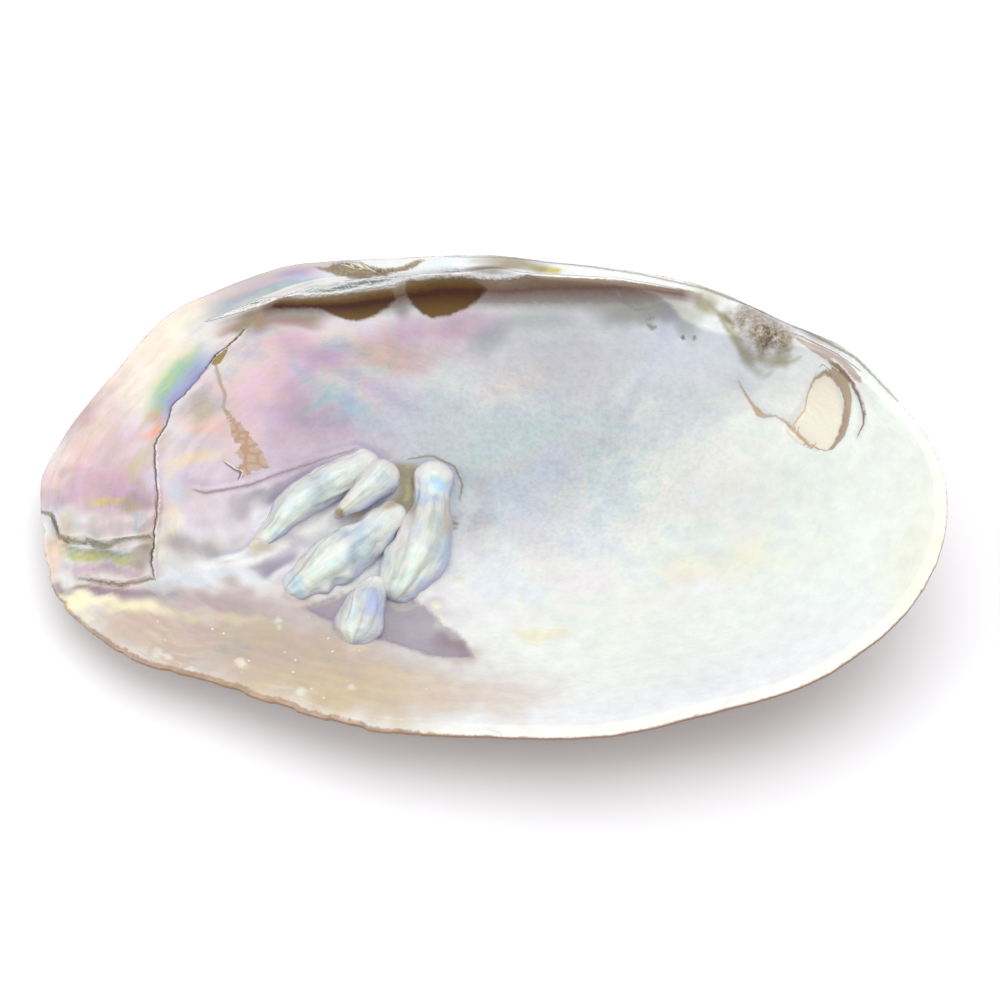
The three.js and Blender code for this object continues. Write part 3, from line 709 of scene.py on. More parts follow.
# Swellings and creases: share of the way, degrees round from the side that is right in the photo, reach
# both ways, and height
PEARL_LOBES = {
    "pearl_drop": [(0.62, 60, 0.12, 50, -0.35), (0.86, 120, 0.08, 50, 0.35), (0.2, 90, 0.12, 90, 0.15)],
    "pearl_right": [
        (0.8, 172, 0.14, 34, 1.2), (0.64, 8, 0.14, 30, 0.7), (0.36, 176, 0.14, 40, 0.5),
        (0.36, 4, 0.12, 40, 0.4), (0.58, 118, 0.34, 7, -0.55), (0.4, 76, 0.26, 7, 0.3),
        (0.46, 100, 0.2, 5, 0.25), (0.8, 62, 0.18, 8, -0.4), (0.96, 120, 0.05, 26, 0.5),
        (0.97, 40, 0.04, 20, -0.5), (0.17, 90, 0.04, 80, -0.25)],
    "pearl_middle": [
        (0.68, 112, 0.26, 7, 1), (0.56, 96, 0.2, 6, -0.35), (0.3, 90, 0.06, 70, -0.4),
        (0.34, 18, 0.03, 20, -0.8), (0.45, 14, 0.04, 20, 0.5), (0.53, 20, 0.03, 22, -0.7),
        (0.63, 14, 0.04, 20, 0.5), (0.71, 20, 0.03, 20, -0.7), (0.8, 14, 0.04, 20, 0.5),
        (0.92, 60, 0.05, 26, 0.6), (0.94, 130, 0.04, 20, -0.5)],
    "pearl_left": [
        (0.24, 96, 0.16, 46, 0.8), (0.6, 78, 0.14, 50, 1), (0.43, 90, 0.035, 70, -0.6),
        (0.5, 24, 0.3, 10, 0.45), (0.52, 132, 0.36, 8, -0.4), (0.82, 100, 0.03, 60, -0.3)],
    "pearl_small": [
        (0.44, 120, 0.3, 8, 1.3), (0.56, 96, 0.26, 8, -0.8), (0.62, 66, 0.24, 9, 0.4),
        (0.72, 178, 0.16, 30, 0.6), (0.7, 4, 0.16, 34, 0.8), (0.92, 130, 0.06, 20, 0.5),
        (0.94, 70, 0.05, 14, -0.4)],
}
PEARL_AROUND = 120
PEARL_ALONG = 90
PEARL_SINK = 0.8
# The streaks along a pearl: their length in millimetres, and how many go round it to a radian
PEARL_STREAK = 9
PEARL_STREAKS = 2.4


def make_pearl(name, line, material):
    """Stretches a ball along a pearl's curved middle, swells and creases it, and sinks it in the hollow"""
    shape = bmesh.new()
    bmesh.ops.create_uvsphere(shape, u_segments=PEARL_AROUND, v_segments=PEARL_ALONG, radius=1)
    pearl = add_piece(name + "_nacre", shape, name, material)
    ball = read_points(pearl.data)
    route = curve_through(line, 16, closed=False)
    floor = plain_hollow(route[:, 0], route[:, 1])
    broad, low = PEARL_FORM[name]
    spine = np.column_stack([route[:, 0], route[:, 1], floor + route[:, 2] * low])
    way = way_along(spine)
    length = np.linalg.norm(np.diff(spine, axis=0), axis=1).sum()
    start, end = line[0][3], line[-1][3]
    ahead = (1 - ball[:, 2]) / 2 * (length + start + end) - start
    along = np.clip(ahead / length, 0, 1)
    beyond = np.maximum(0, np.maximum(-ahead / start, (ahead - length) / end))
    roundness = np.sqrt(np.maximum(0, 1 - beyond ** 2))
    radius = np.interp(along, way, route[:, 3]) * roundness
    tangents = np.gradient(spine, axis=0)
    tangents /= np.linalg.norm(tangents, axis=1)[:, None]
    tangent = np.column_stack([np.interp(along, way, tangents[:, axis]) for axis in range(3)])
    middle = np.column_stack([np.interp(along, way, spine[:, axis]) for axis in range(3)])
    middle += tangent * (ahead - along * length)[:, None]
    side = np.cross((0, 0, 1), tangent)
    side /= np.linalg.norm(side, axis=1)[:, None]
    lift = np.cross(tangent, side)
    around = np.arctan2(ball[:, 1], ball[:, 0])
    whole = ahead / (length + start + end) + start / (length + start + end)
    seed = sum(map(ord, name))
    relief = np.zeros_like(radius)
    for lobe_way, lobe_turn, reach, spread, height in PEARL_LOBES[name]:
        turn = math.radians(lobe_turn) + 0.3 * np.sin(whole * 5 + seed)
        from_lobe = np.angle(np.exp(1j * (around - turn)))
        fall = -((whole - lobe_way) / reach) ** 2 - (from_lobe / math.radians(spread)) ** 2
        relief += height * np.exp(fall)
    waved_x, waved_y = middle[:, 0] + np.cos(around) * radius, middle[:, 1] + np.sin(around) * radius
    relief += 0.14 * ripples(waved_x, waved_y, 5, seed) + 0.03 * ripples(waved_x, waved_y, 1.8, seed + 1)
    radius = radius + relief * np.minimum(1, radius / 2)
    outward, upward = np.cos(around) * radius * broad, np.sin(around) * radius * low
    points = middle + side * outward[:, None] + lift * upward[:, None]
    points[:, 2] = np.maximum(points[:, 2], plain_hollow(points[:, 0], points[:, 1]) - PEARL_SINK)
    write_points(pearl.data, at_rest(points))
    write_attribute(pearl.data, "place", points)
    write_attribute(pearl.data, "way", np.column_stack([whole, np.cos(around), np.sin(around)]))
    streak = [whole * length / PEARL_STREAK, PEARL_STREAKS * np.cos(around), PEARL_STREAKS * np.sin(around)]
    write_attribute(pearl.data, "streak", np.column_stack(streak))


# Materials

# A Mix takes its mask at input 0, the colour below at 6 and the colour on top at 7. A MapRange takes its
# value at 0, the range that it comes in at 1 and 2, and the range that it goes out in at 3 and 4.
# A pattern that lies in millimetres has for its scale 1 over the size of its spots. Grain and ragged
# edges are drawn about a millimetre wide, coarser than the real ones, so that they show.


def linear(hex_colour):
    """An sRGB hex colour as the linear colour that the shaders take"""
    channels = (int(hex_colour[start:start + 2], 16) / 255 for start in (1, 3, 5))
    return tuple(c / 12.92 if c <= 0.04045 else ((c + 0.055) / 1.055) ** 2.4 for c in channels) + (1,)


def add(tree, kind, inputs=(), stops=(), **settings):
    """Adds a node with its settings and links. An input is a value, a hex colour, a node, or a node and the
    name of its output. The stops of a colour ramp are places and hex colours."""
    made = tree.nodes.new("ShaderNode" + kind)
    for name, value in settings.items():
        setattr(made, name, value)
    for key, value in (inputs.items() if isinstance(inputs, dict) else enumerate(inputs)):
        if isinstance(value, bpy.types.Node):
            tree.links.new(next(out for out in value.outputs if out.enabled), made.inputs[key])
        elif isinstance(value, tuple) and isinstance(value[0], bpy.types.Node):
            tree.links.new(value[0].outputs[value[1]], made.inputs[key])
        else:
            made.inputs[key].default_value = linear(value) if isinstance(value, str) else value
    if stops:
        elements = made.color_ramp.elements
        while len(elements) < len(stops):
            elements.new(1)
        for element, (position, colour) in zip(elements, stops):
            element.position = position
            element.color = linear(colour)
    return made


def new_material(name):
    material = bpy.data.materials.new(name)
    material.use_nodes = True
    material.node_tree.nodes.clear()
    return material, material.node_tree


def soft_spot(tree, place, x, y, along, across, turn, strength):
    """A mask that is strongest at the middle of an oval, in millimetres, and fades out at its edge"""
    local = add(tree, "Mapping", [place, (x, y, 0), (0, 0, math.radians(turn)), (along, across, 1e6)],
                vector_type="TEXTURE")
    reach = add(tree, "VectorMath", [local], operation="LENGTH")
    return add(tree, "MapRange", {0: (reach, "Value"), 1: 1.0, 2: 0.15, 3: 0.0, 4: strength},
               interpolation_type="SMOOTHERSTEP")


def line_mask(tree, family, widen, softness, wobble):
    """A mask along the lines of a family, ragged by a noise, and the share that picks each line's colour"""
    field = add(tree, "SeparateXYZ", [(add(tree, "Attribute", attribute_name=family), "Vector")])
    ragged = add(tree, "Math", [(field, "X"), wobble], operation="ADD")
    distance = add(tree, "Math", [ragged], operation="ABSOLUTE")
    width = add(tree, "Math", [(field, "Y"), widen], operation="ADD")
    depth = add(tree, "Math", [width, distance], operation="SUBTRACT")
    mask = add(tree, "MapRange", {0: depth, 1: -softness, 2: softness, 3: 0.0, 4: 1.0},
               interpolation_type="SMOOTHSTEP")
    return mask, (field, "Z")


def patch_mask(tree, name, softness, wobble):
    """A mask over one of the valve's patches, with an edge made uneven by a noise"""
    field = add(tree, "Attribute", attribute_name=name)
    uneven = add(tree, "Math", [(field, "Fac"), wobble], operation="ADD")
    return add(tree, "MapRange", {0: uneven, 1: -softness, 2: softness, 3: 0.0, 4: 1.0},
               interpolation_type="SMOOTHSTEP")


# Washes of colour in the nacre, soft ovals laid one over the other:
# x, y, reach along and across in millimetres, turn in degrees, strength and colour
GROUND = "#e9e7ea"
LUMP_COLOUR = "#e6e0d2"
WASHES = [
    # The middle of the hollow: grey-blue, with lavender towards the hinge
    (4, 22, 62, 30, 0, 0.95, "#adb6c6"), (12, 41, 30, 9, -6, 0.6, "#bebdc8"),
    (4, 36, 13, 5, 16, 0.5, "#d6cbcb"),
    # The front, white, greenish and cream in places, with a faint grey painted shade below the cusp
    (66, 0, 60, 44, -12, 1, "#eaeeea"), (26, -26, 56, 24, 6, 0.9, "#ebede5"),
    (46, -7, 26, 7, -4, 0.5, "#eae2c4"), (11, -22, 7, 3.5, -14, 0.6, "#efe3b4"),
    (40, 36, 22, 8, -20, 0.8, "#dfe2ee"), (53, 28.5, 11, 3, -16, 0.35, "#c6c9cc"),
    (50, 6, 30, 14, -6, 0.6, "#dde0da"), (84, -14, 12, 26, 0, 0.8, "#e9e8da"),
    # Hinge line: the wing green-grey and violet-blue, and warm brown painted shade under the strands
    (-46, 51.5, 15, 3, 13, 0.9, "#a6aaa0"), (-44, 54.8, 34, 2.6, 12, 0.7, "#9fa3ac"),
    (-40.5, 55.2, 6, 1.8, 10, 0.9, "#969bb4"), (-55, 48.5, 8, 3.8, 30, 0.9, "#a3a9ad"),
    (-49.5, 47.2, 5, 1.4, 22, 0.8, "#adada2"), (-61, 46, 10, 4, 38, 0.5, "#bbb8b8"),
    (-46, 44.8, 15, 3, 10, 1, "#8b6d5a"), (-39, 45.4, 8, 2, 6, 0.95, "#7c5742"),
    (-39, 44.2, 7, 1.2, 4, 0.7, "#745c62"), (-51.5, 43.4, 6, 1.7, 18, 0.95, "#88704e"),
    (-48.5, 45.5, 5.5, 1.3, 18, 0.9, "#8c7e66"), (-43.5, 46.2, 4.5, 1.3, 8, 0.9, "#7a6446"),
    (-18.6, 48.4, 2.4, 2.6, 0, 0.8, "#746a6a"),
    # The flap: beige with an amber spot, then white; grey painted shade on the wall under the teeth, and
    # grey-brown behind the cusp
    (5.5, 54.6, 11, 2.6, -8, 0.95, "#a1917f"), (0, 53.4, 9, 1.2, 0, 0.8, "#8f7f76"),
    (11.5, 53, 4.4, 1.5, -12, 0.9, "#a08f5e"), (-2, 55.6, 3.5, 1, 0, 0.7, "#c0c0bf"),
    (26, 50.7, 12, 1.4, -12, 0.95, "#fbf9f8"), (14.4, 52.4, 2, 1.2, 0, 0.95, "#c9ab45"),
    (-9.5, 55.4, 7, 2.6, 6, 0.8, "#dfe8ee"), (30, 44.6, 14, 2.6, -14, 0.7, "#8e8884"),
    (8, 46.8, 14, 2.2, -4, 0.5, "#a2a6a6"), (38, 43, 10, 3, -24, 0.7, "#98928f"),
    (66, 35.5, 17, 3.6, -36, 0.85, "#b0a7a2"),
    # The cusp: khaki down its slope, brown in its pits, grey painted shade in the crease at its upper end,
    # and near white below it, painted lighter against the relief's own shade
    (47, 46.5, 10, 3, -28, 0.8, "#b4ab96"), (43.6, 41, 6, 3, -52, 0.5, "#a8a6a4"),
    (45.4, 42.9, 5.4, 2.4, -50, 0.9, "#978b72"), (49.6, 37.8, 5, 1.7, -66, 0.95, "#85764f"),
    (52.6, 33.8, 3.6, 1.9, -44, 0.8, "#928670"), (58.6, 31.2, 5, 1.5, -4, 0.7, "#a0906e"),
    (56.4, 35, 3, 1.6, -20, 0.9, "#76602f"), (57, 27.4, 8, 2.6, -6, 0.7, "#eef0ee"),
    # The belly side: peach, cream and olive-yellow
    (-40, -28, 58, 20, -12, 0.95, "#bfa79c"), (-22, -37, 38, 9, -7, 0.9, "#cdb796"),
    (-2, -38, 26, 8, -5, 0.6, "#dccabf"), (-40, -26, 18, 6, -16, 0.6, "#bfb092"),
    (-50, -17, 26, 5, -3, 0.7, "#b49ca2"), (-66, -24, 20, 6, -30, 0.7, "#cdb2a2"),
    # The rear wall: pinks and lavender, then cyan streaks that run down from the hinge
    (-40, 26, 34, 26, 0, 0.9, "#b798bd"), (-58, 12, 22, 24, 0, 0.8, "#cbb6d0"),
    (-45, 39.5, 16, 5.4, 10, 0.55, "#d3a6c2"), (-38, 28, 13, 9, 6, 0.8, "#927aac"),
    (-24, 40, 14, 6, 11, 0.9, "#b08e96"), (-17, 45, 13, 4, 8, 0.65, "#c89cba"),
    (-33, 38.5, 9, 4.5, 25, 0.7, "#9a8cc6"), (-36, 35, 12, 2.6, -34, 0.75, "#84a8c4"),
    (-30, 29, 14, 3.6, -26, 0.7, "#8aa8cc"), (-6, 46, 12, 4.2, 8, 0.75, "#c29cbc"),
    (-1, 44.4, 8, 3.4, 28, 0.6, "#949cae"), (-14, 41, 12, 4, 0, 0.6, "#bc9cb4"),
    (-19, 31, 20, 11, -6, 0.6, "#abb6cc"), (-50, 31, 10, 7, 10, 0.6, "#d9b6cc"),
    (-62, 37.6, 3.4, 2, 40, 0.6, "#b9a9b4"),
    # Beside the crack: beige, peach and pale yellow
    (-59, 27, 8, 4, 30, 0.8, "#ae9488"), (-60, 23, 8, 3.4, 14, 0.7, "#e8b4a8"),
    (-61, 15.5, 10, 2.6, 12, 0.6, "#e6d0a4"), (-64.5, 4, 3.2, 18, 0, 0.7, "#ebe4c4"),
    (-52, 21, 6, 8, 0, 0.5, "#deb4b6"), (-63, 9, 3, 5, 0, 0.6, "#a9c4da"),
    # The rear plate: cream above, pinkish mauve below, with a yellow spot beside a dent drawn in grey
    # painted shade, and pinkish-brown painted shade along the crack where the plate's edge rounds off
    (-74, 38, 34, 11, 46, 0.95, "#f6e6d8"), (-82, 18, 20, 9, 66, 0.9, "#e2c2c2"),
    (-74, 12, 13, 18, 0, 0.85, "#c8a8c6"), (-83, 24, 9, 3.4, 50, 0.6, "#b9989c"),
    (-79, 6, 20, 7, 4, 0.85, "#be94b6"), (-80, 11, 14, 1.8, -6, 0.6, "#d692b6"),
    (-72, 18, 4, 9, -10, 0.5, "#e4ccd6"), (-76, 4.5, 5, 1.7, 4, 0.9, "#dfc964"),
    (-72.6, 4.6, 5.4, 2.2, 5, 0.8, "#85777f"), (-69.6, 12, 2, 10, 0, 0.5, "#c8c88c"),
    (-69.4, 0, 2.2, 14, 0, 0.7, "#a88280"), (-69, 22, 2.2, 5, -20, 0.9, "#e88f70"),
    (-76, -1.6, 13, 2.4, 2, 0.7, "#b7a3ae"), (-84.6, -1, 3, 4.4, 0, 0.6, "#a58e80"),
    # Under the step: grey-olive painted shade just below its edge, then the olive band, the mauve bulge,
    # cream at the rim, a mauve painted shadow under the lower step, and a bright painted highlight band
    # above the belly
    (-86, -7, 6, 10, -4, 0.9, "#eccdb8"), (-76, -5.4, 14, 1.6, -1, 0.85, "#968c70"),
    (-76, -7.4, 12, 2.4, 1, 0.95, "#b6b566"), (-69, -7.2, 5, 3, 4, 0.7, "#96857c"),
    (-73.5, -10.8, 14, 2.8, 4, 0.9, "#c0a0b2"), (-76, -15.6, 20, 2, 1, 0.9, "#987888"),
    (-74, -18.9, 20, 2.6, -5, 1, "#fbf3cc"), (-52, -20.5, 18, 2, -4, 0.5, "#ddd0a8"),
    # Round the pearls: mauve painted shade under the fold, beside the tail and between the left and middle
    # pearls, blue-white beside the bead
    (-43, 10.5, 20, 3, 29, 0.8, "#9a84a4"), (-46.5, 7.4, 9, 4.2, 28, 0.8, "#978ca4"),
    (-58, -4.4, 12, 5, 4, 0.8, "#9c8d9a"), (-39, -3, 12, 2.4, 34, 0.55, "#a494ac"),
    (-44.6, -7.4, 8, 2.6, 20, 0.8, "#8f7ca0"), (-50, -5.6, 7, 1.3, 26, 0.9, "#eaf2f6"),
    (-46.9, -3.4, 2, 1.9, 0, 0.95, "#dfd196"), (-56, -11, 16, 2.8, 3, 0.9, "#e2e6f0"),
    (-3, 8, 5, 14, 0, 0.5, "#a39ca6"), (-14, -17, 14, 5, -10, 0.5, "#c6b8bc"),
    (-8, -26, 8, 3, -18, 0.9, "#a87c60"), (-8.6, 5.4, 1.8, 3.8, 0, 0.9, "#857256"),
    (-28.8, 5.4, 3.2, 2, 40, 0.6, "#d8b49c"), (-33.5, 1.8, 6, 1.8, 40, 0.6, "#d9d8da"),
]


def nacre_ground(x, y):
    """Ground colours of the nacre; their edges wander like brushed water, least under the hinge"""
    sway = 1 - 0.85 * smooth(y, 38, 46)
    sway_x = x + sway * (1.6 * ripples(x, y, 14, 21) + 0.7 * ripples(x, y, 5, 22))
    sway_y = y + sway * (1.2 * ripples(x, y, 12, 23) + 0.5 * ripples(x, y, 4, 24))
    ground = np.tile(linear(GROUND)[:3], (len(x), 1))
    for middle_x, middle_y, along, across, turn, strength, shade in WASHES:
        forward, sideways = from_middle(sway_x, sway_y, middle_x, middle_y, turn)
        mask = strength * (1 - smooth(np.hypot(forward / along, sideways / across), 0.15, 1))
        ground += mask[:, None] * (np.array(linear(shade)[:3]) - ground)
    for lump_x, lump_y, radius, rise in LUMPS:
        mask = 0.8 * smooth(spot(x, y, lump_x, lump_y, radius, radius), 0.2, 0.6)
        ground += mask[:, None] * (np.array(linear(LUMP_COLOUR)[:3]) - ground)
    return ground


# Washes of colour on the pearls: sky blue under the right pearl's cap, organic brown where the heads touch
# and at the drop's tip, violet on the small pearl, and cream along the middle one's ridge, a painted
# highlight
PEARL_WASHES = [
    (-11, 11.2, 3.6, 2.2, -20, 0.7, "#a9cdf0"), (-17.4, 13.6, 1.9, 4.6, 8, 0.85, "#a58548"),
    (-16.6, 7, 1.5, 5, 8, 0.6, "#a88c58"), (-20.6, 6.6, 3, 1.6, 40, 0.7, "#b0935c"),
    (-30.4, 3.4, 1.5, 1.5, 0, 0.9, "#8c6c3c"), (-28.8, 5.4, 2.2, 1.6, 40, 0.5, "#e4c0a8"),
    (-31, -5.6, 7, 2.2, 40, 0.6, "#f1efe4"), (-22.6, -18, 2.2, 5, 0, 0.6, "#a5aee4"),
    (-8.6, 4, 1.6, 7, 0, 0.5, "#b9a78c"), (-45.4, -1.6, 2.4, 2, 0, 0.6, "#dfe3d0"),
]

# Film colours of the nacre, from one band to the next
FILM_COLOURS = [
    (0, "#dca6c6"), (0.15, "#c79cd6"), (0.32, "#9c9ada"), (0.48, "#8ebcd8"), (0.6, "#a0cdba"),
    (0.7, "#d6d6a4"), (0.82, "#e6b4a8"), (1, "#dca6c6"),
]
# Beside the crack, from its edge outwards
CRACK_FILM = [
    (0.0, "#8f88c0"), (0.16, "#93a6cc"), (0.34, "#93bba4"), (0.52, "#d2d2a0"), (0.75, "#ecdfc0"),
    (1.0, "#efe0cc"),
]
# Where film colours show all over: x, y, reach along and across, turn and strength
FILM_REGIONS = [
    (-40, 36, 46, 20, 10, 0.22), (-74, 8, 26, 30, 0, 0.18), (-56, -22, 40, 14, -16, 0.12),
    (24, 6, 70, 46, 0, 0.12),
]


def nacre_film(tree, place, layer, brushed, colour):
    """Interference colours: narrow bands on the wing, a band beside the crack, a faint play elsewhere"""
    warp = add(tree, "TexNoise", {"Vector": place, "Scale": 1 / 16, "Detail": 6.0, "Roughness": 0.6})
    phase = add(tree, "Math", [warp, 2.6, brushed], operation="MULTIPLY_ADD")
    film = add(tree, "ValToRGB", [add(tree, "Math", [phase], operation="FRACT")], FILM_COLOURS)
    where = None
    for x, y, along, across, turn, strength in FILM_REGIONS:
        mask = soft_spot(tree, place, x, y, along, across, turn, strength)
        where = mask if where is None else add(tree, "Math", [where, mask], operation="MAXIMUM")
    colour = add(tree, "Mix", {0: where, 6: colour, 7: film}, data_type="RGBA")

    # On the wing the bands follow the rim, some 9 mm from one order to the next
    from_rim = add(tree, "Math", [(layer, "Z"), 1 / 9, phase], operation="MULTIPLY_ADD")
    wing_film = add(tree, "ValToRGB", [add(tree, "Math", [from_rim], operation="FRACT")], FILM_COLOURS)
    wing = soft_spot(tree, place, -44, 54, 30, 6, 14, 0.36)
    colour = add(tree, "Mix", {0: wing, 6: colour, 7: wing_film}, data_type="RGBA")

    # Beside the crack they run from violet at its edge to green and pale yellow, over 9 mm
    crack = add(tree, "Attribute", attribute_name="beside_crack")
    beside = add(tree, "Math", [brushed, 7.0, (crack, "Fac")], operation="MULTIPLY_ADD")
    beside = add(tree, "Math", [warp, 6.0, beside], operation="MULTIPLY_ADD")
    outwards = add(tree, "MapRange", {0: beside, 1: 5.4, 2: -3.0, 3: 0.0, 4: 1.0})
    crack_film = add(tree, "ValToRGB", [outwards], CRACK_FILM)
    strip = soft_spot(tree, place, -63.5, 31, 14, 8, 54, 1.1)
    outer_side = add(tree, "Math", [(crack, "Fac"), 0.0], operation="LESS_THAN")
    strip = add(tree, "Math", [strip, outer_side], operation="MULTIPLY")
    return add(tree, "Mix", {0: strip, 6: colour, 7: crack_film}, data_type="RGBA")


# Marks of one colour each: softness of the edge in millimetres, how ragged it is, strength and colour
# The hollowed patch's mauve is painted shade
PATCH_MARKS = [
    ("scar", 0.1, 0.5, 0.95, "#ece1d4"), ("hollow_patch", 0.6, 1.8, 0.68, "#8c7c90"),
    ("crack_gap", 0.12, 0.5, 0.95, "#86642c"), ("conchiolin", 0.9, 1.8, 0.7, "#94783e"),
]
# Colours across the line under the teeth, from 2.6 mm below it to 1.55 mm above: those of the band of
# painted shade on the wall, how much it shows, and those of the stains, darkest along the same painted shade
WALL_ACROSS = (-2.6, 1.55)
WALL_SHADE_TINTS = [(0.0, "#a3a29b"), (0.24, "#97958d"), (0.38, "#857e75"), (0.48, "#7a6961"), (0.56, "#705244"),
              (0.63, "#553418"), (0.70, "#69522c"), (0.80, "#75603c"), (0.90, "#8c7860")]
WALL_SHADE_SHOWS = [(0.0, "#000000"), (0.32, "#ffffff"), (0.90, "#ffffff"), (1.0, "#000000")]
STAIN_AND_SHADE_TINTS = [(0.0, "#6e5622"), (0.22, "#624a18"), (0.40, "#543a0c"), (0.54, "#422802"), (0.63, "#472a04"),
               (0.70, "#5a3f0c"), (0.80, "#665020"), (0.90, "#7c6842")]
CUSP_TINTS = [(0.34, "#8a6c48"), (0.44, "#ac967a"), (0.54, "#c0b0a4"), (0.64, "#dcd3cc")]
# Families of lines: widening and softness of the edge in millimetres, raggedness and strength
FAMILY_MARKS = [
    ("shades", 0.0, 0.6, 0.5, 0.8), ("seams", 0.0, 0.22, 0.6, 0.85), ("steps", -0.03, 0.12, 0.5, 0.8),
    ("breaks", 0.0, 0.09, 0.35, 0.92), ("strands", 0.0, 0.2, 0.6, 0.9),
]


def plain_patches(tree, wobble, colour):
    """The scar, the hollowed patch below the pearls in mauve painted shade, the gap in the crack and the
    brown organic matter between the pearls
    """
    for name, softness, ragged, strength, stain in PATCH_MARKS:
        uneven = add(tree, "Math", [wobble, ragged], operation="MULTIPLY")
        mask = patch_mask(tree, name, softness, uneven)
        mask = add(tree, "Math", [mask, strength], operation="MULTIPLY")
        colour = add(tree, "Mix", {0: mask, 6: colour, 7: stain}, data_type="RGBA")
    return colour


def belly_flecks(tree, place, rough_spots, colour):
    """White flecks, under a millimetre across, where the growth lines crowd on the belly side"""
    cells = add(tree, "TexVoronoi", {"Vector": place, "Scale": 1 / 2.6})
    fleck = add(tree, "Math", [rough_spots, 0.16, cells], operation="MULTIPLY_ADD")
    fleck = add(tree, "MapRange", {0: fleck, 1: 0.20, 2: 0.14, 3: 0.0, 4: 1.0})
    belly = soft_spot(tree, place, -38, -30, 46, 15, -10, 0.9)
    fleck = add(tree, "Math", [fleck, belly], operation="MULTIPLY")
    return add(tree, "Mix", {0: fleck, 6: colour, 7: "#efe6dc"}, data_type="RGBA")


def hinge_wall(tree, wobble, colour):
    """Under the teeth the wall has a band of painted shade, tan, then dark brown, then grey, and is golden
    brown where organic matter stains it, darkest along the band. Gives the colour, and where the band and
    the stains take the gloss away"""
    under_teeth = add(tree, "Attribute", attribute_name="under_teeth")
    teeth_line = add(tree, "SeparateXYZ", [(under_teeth, "Vector")])
    ragged = add(tree, "Math", [wobble, 0.6, (teeth_line, "X")], operation="MULTIPLY_ADD")
    across = add(tree, "MapRange", {0: ragged, 1: WALL_ACROSS[0], 2: WALL_ACROSS[1], 3: 0.0, 4: 1.0})
    ends = add(tree, "MapRange", {0: (teeth_line, "Y"), 1: -1.5, 2: 0.1, 3: 0.0, 4: 0.92})
    # A band of painted shade along the line under the teeth
    wall = add(tree, "ValToRGB", [across], WALL_SHADE_SHOWS)
    wall = add(tree, "Math", [wall, ends], operation="MULTIPLY")
    wall_shade_tints = add(tree, "ValToRGB", [across], WALL_SHADE_TINTS)
    colour = add(tree, "Mix", {0: wall, 6: colour, 7: wall_shade_tints}, data_type="RGBA")
    uneven = add(tree, "Math", [wobble, 0.8], operation="MULTIPLY")
    stains = [patch_mask(tree, name, 0.35, uneven) for name in ("stain_rear", "stain_front")]
    stains = add(tree, "Math", stains, operation="MAXIMUM")
    # The stains, with the painted shade darkest along the same line
    stain_and_shade_tints = add(tree, "ValToRGB", [across], STAIN_AND_SHADE_TINTS)
    colour = add(tree, "Mix", {0: stains, 6: colour, 7: stain_and_shade_tints}, data_type="RGBA")
    return colour, add(tree, "Math", [wall, stains], operation="MAXIMUM")


def flake_and_feathers(tree, place, wobble, rough_spots, colour):
    """The torn flake, tan with a net left between paler cells, and feathered brown marks on the wing"""
    uneven = add(tree, "Math", [wobble, 2.4], operation="MULTIPLY")
    cells = add(tree, "TexVoronoi", {"Vector": place, "Scale": 1 / 2.4}, feature="DISTANCE_TO_EDGE")
    net = add(tree, "ValToRGB", [cells], [(0.05, "#a47870"), (0.18, "#ae8e8a")])
    mask = patch_mask(tree, "flake", 0.12, uneven)
    colour = add(tree, "Mix", {0: mask, 6: colour, 7: net}, data_type="RGBA")
    feathers = add(tree, "ValToRGB", [rough_spots], [(0.40, "#74583e"), (0.62, "#94785a")])
    mask = patch_mask(tree, "feather", 0.4, wobble)
    mask = add(tree, "Math", [mask, 0.9], operation="MULTIPLY")
    return add(tree, "Mix", {0: mask, 6: colour, 7: feathers}, data_type="RGBA")


def rough_cusp(tree, place, wobble, colour):
    """The cusp, khaki and grey in crystals of about a millimetre, with brown in its pits"""
    crystals = add(tree, "TexNoise", {"Vector": place, "Scale": 1 / 1.25, "Detail": 5.0, "Roughness": 0.7})
    rough = add(tree, "ValToRGB", [crystals], CUSP_TINTS)
    uneven = add(tree, "Math", [wobble, 4.0], operation="MULTIPLY")
    mask = patch_mask(tree, "cusp_rough", 1.8, uneven)
    mask = add(tree, "Math", [mask, 0.85], operation="MULTIPLY")
    colour = add(tree, "Mix", {0: mask, 6: colour, 7: rough}, data_type="RGBA")
    pits = add(tree, "MapRange", {0: crystals, 1: 0.58, 2: 0.42, 3: 0.0, 4: 1.0})
    middle = soft_spot(tree, place, 56.8, 33.8, 4.8, 2.8, -24, 0.85)
    pits = add(tree, "Math", [pits, middle], operation="MULTIPLY")
    return add(tree, "Mix", {0: pits, 6: colour, 7: "#5e3c10"}, data_type="RGBA")


def line_marks(tree, wobble, colour):
    """Cracks, edges, seams and strands, painted shade under the upper step and beside the fold, and nearly
    white lips along one side of the breaks: chipped edges with a painted highlight
    """
    for name, widen, softness, ragged, strength in FAMILY_MARKS:
        uneven = add(tree, "Math", [wobble, ragged], operation="MULTIPLY")
        mask, pick = line_mask(tree, name, widen, softness, uneven)
        family = FAMILIES[name]
        stops = [(index / len(family), tint) for index, (line, tint) in enumerate(family)]
        stain = add(tree, "ValToRGB", [pick], stops)
        stain.color_ramp.interpolation = "CONSTANT"
        mask = add(tree, "Math", [mask, strength], operation="MULTIPLY")
        colour = add(tree, "Mix", {0: mask, 6: colour, 7: stain}, data_type="RGBA")
    # The white of the chipped lips is partly a painted highlight
    beside = add(tree, "Math", [wobble, 1.2, -0.36], operation="MULTIPLY_ADD")
    lip, pick = line_mask(tree, "breaks", 0.0, 0.12, beside)
    lip = add(tree, "Math", [lip, 0.7], operation="MULTIPLY")
    return add(tree, "Mix", {0: lip, 6: colour, 7: "#f7efe6"}, data_type="RGBA")


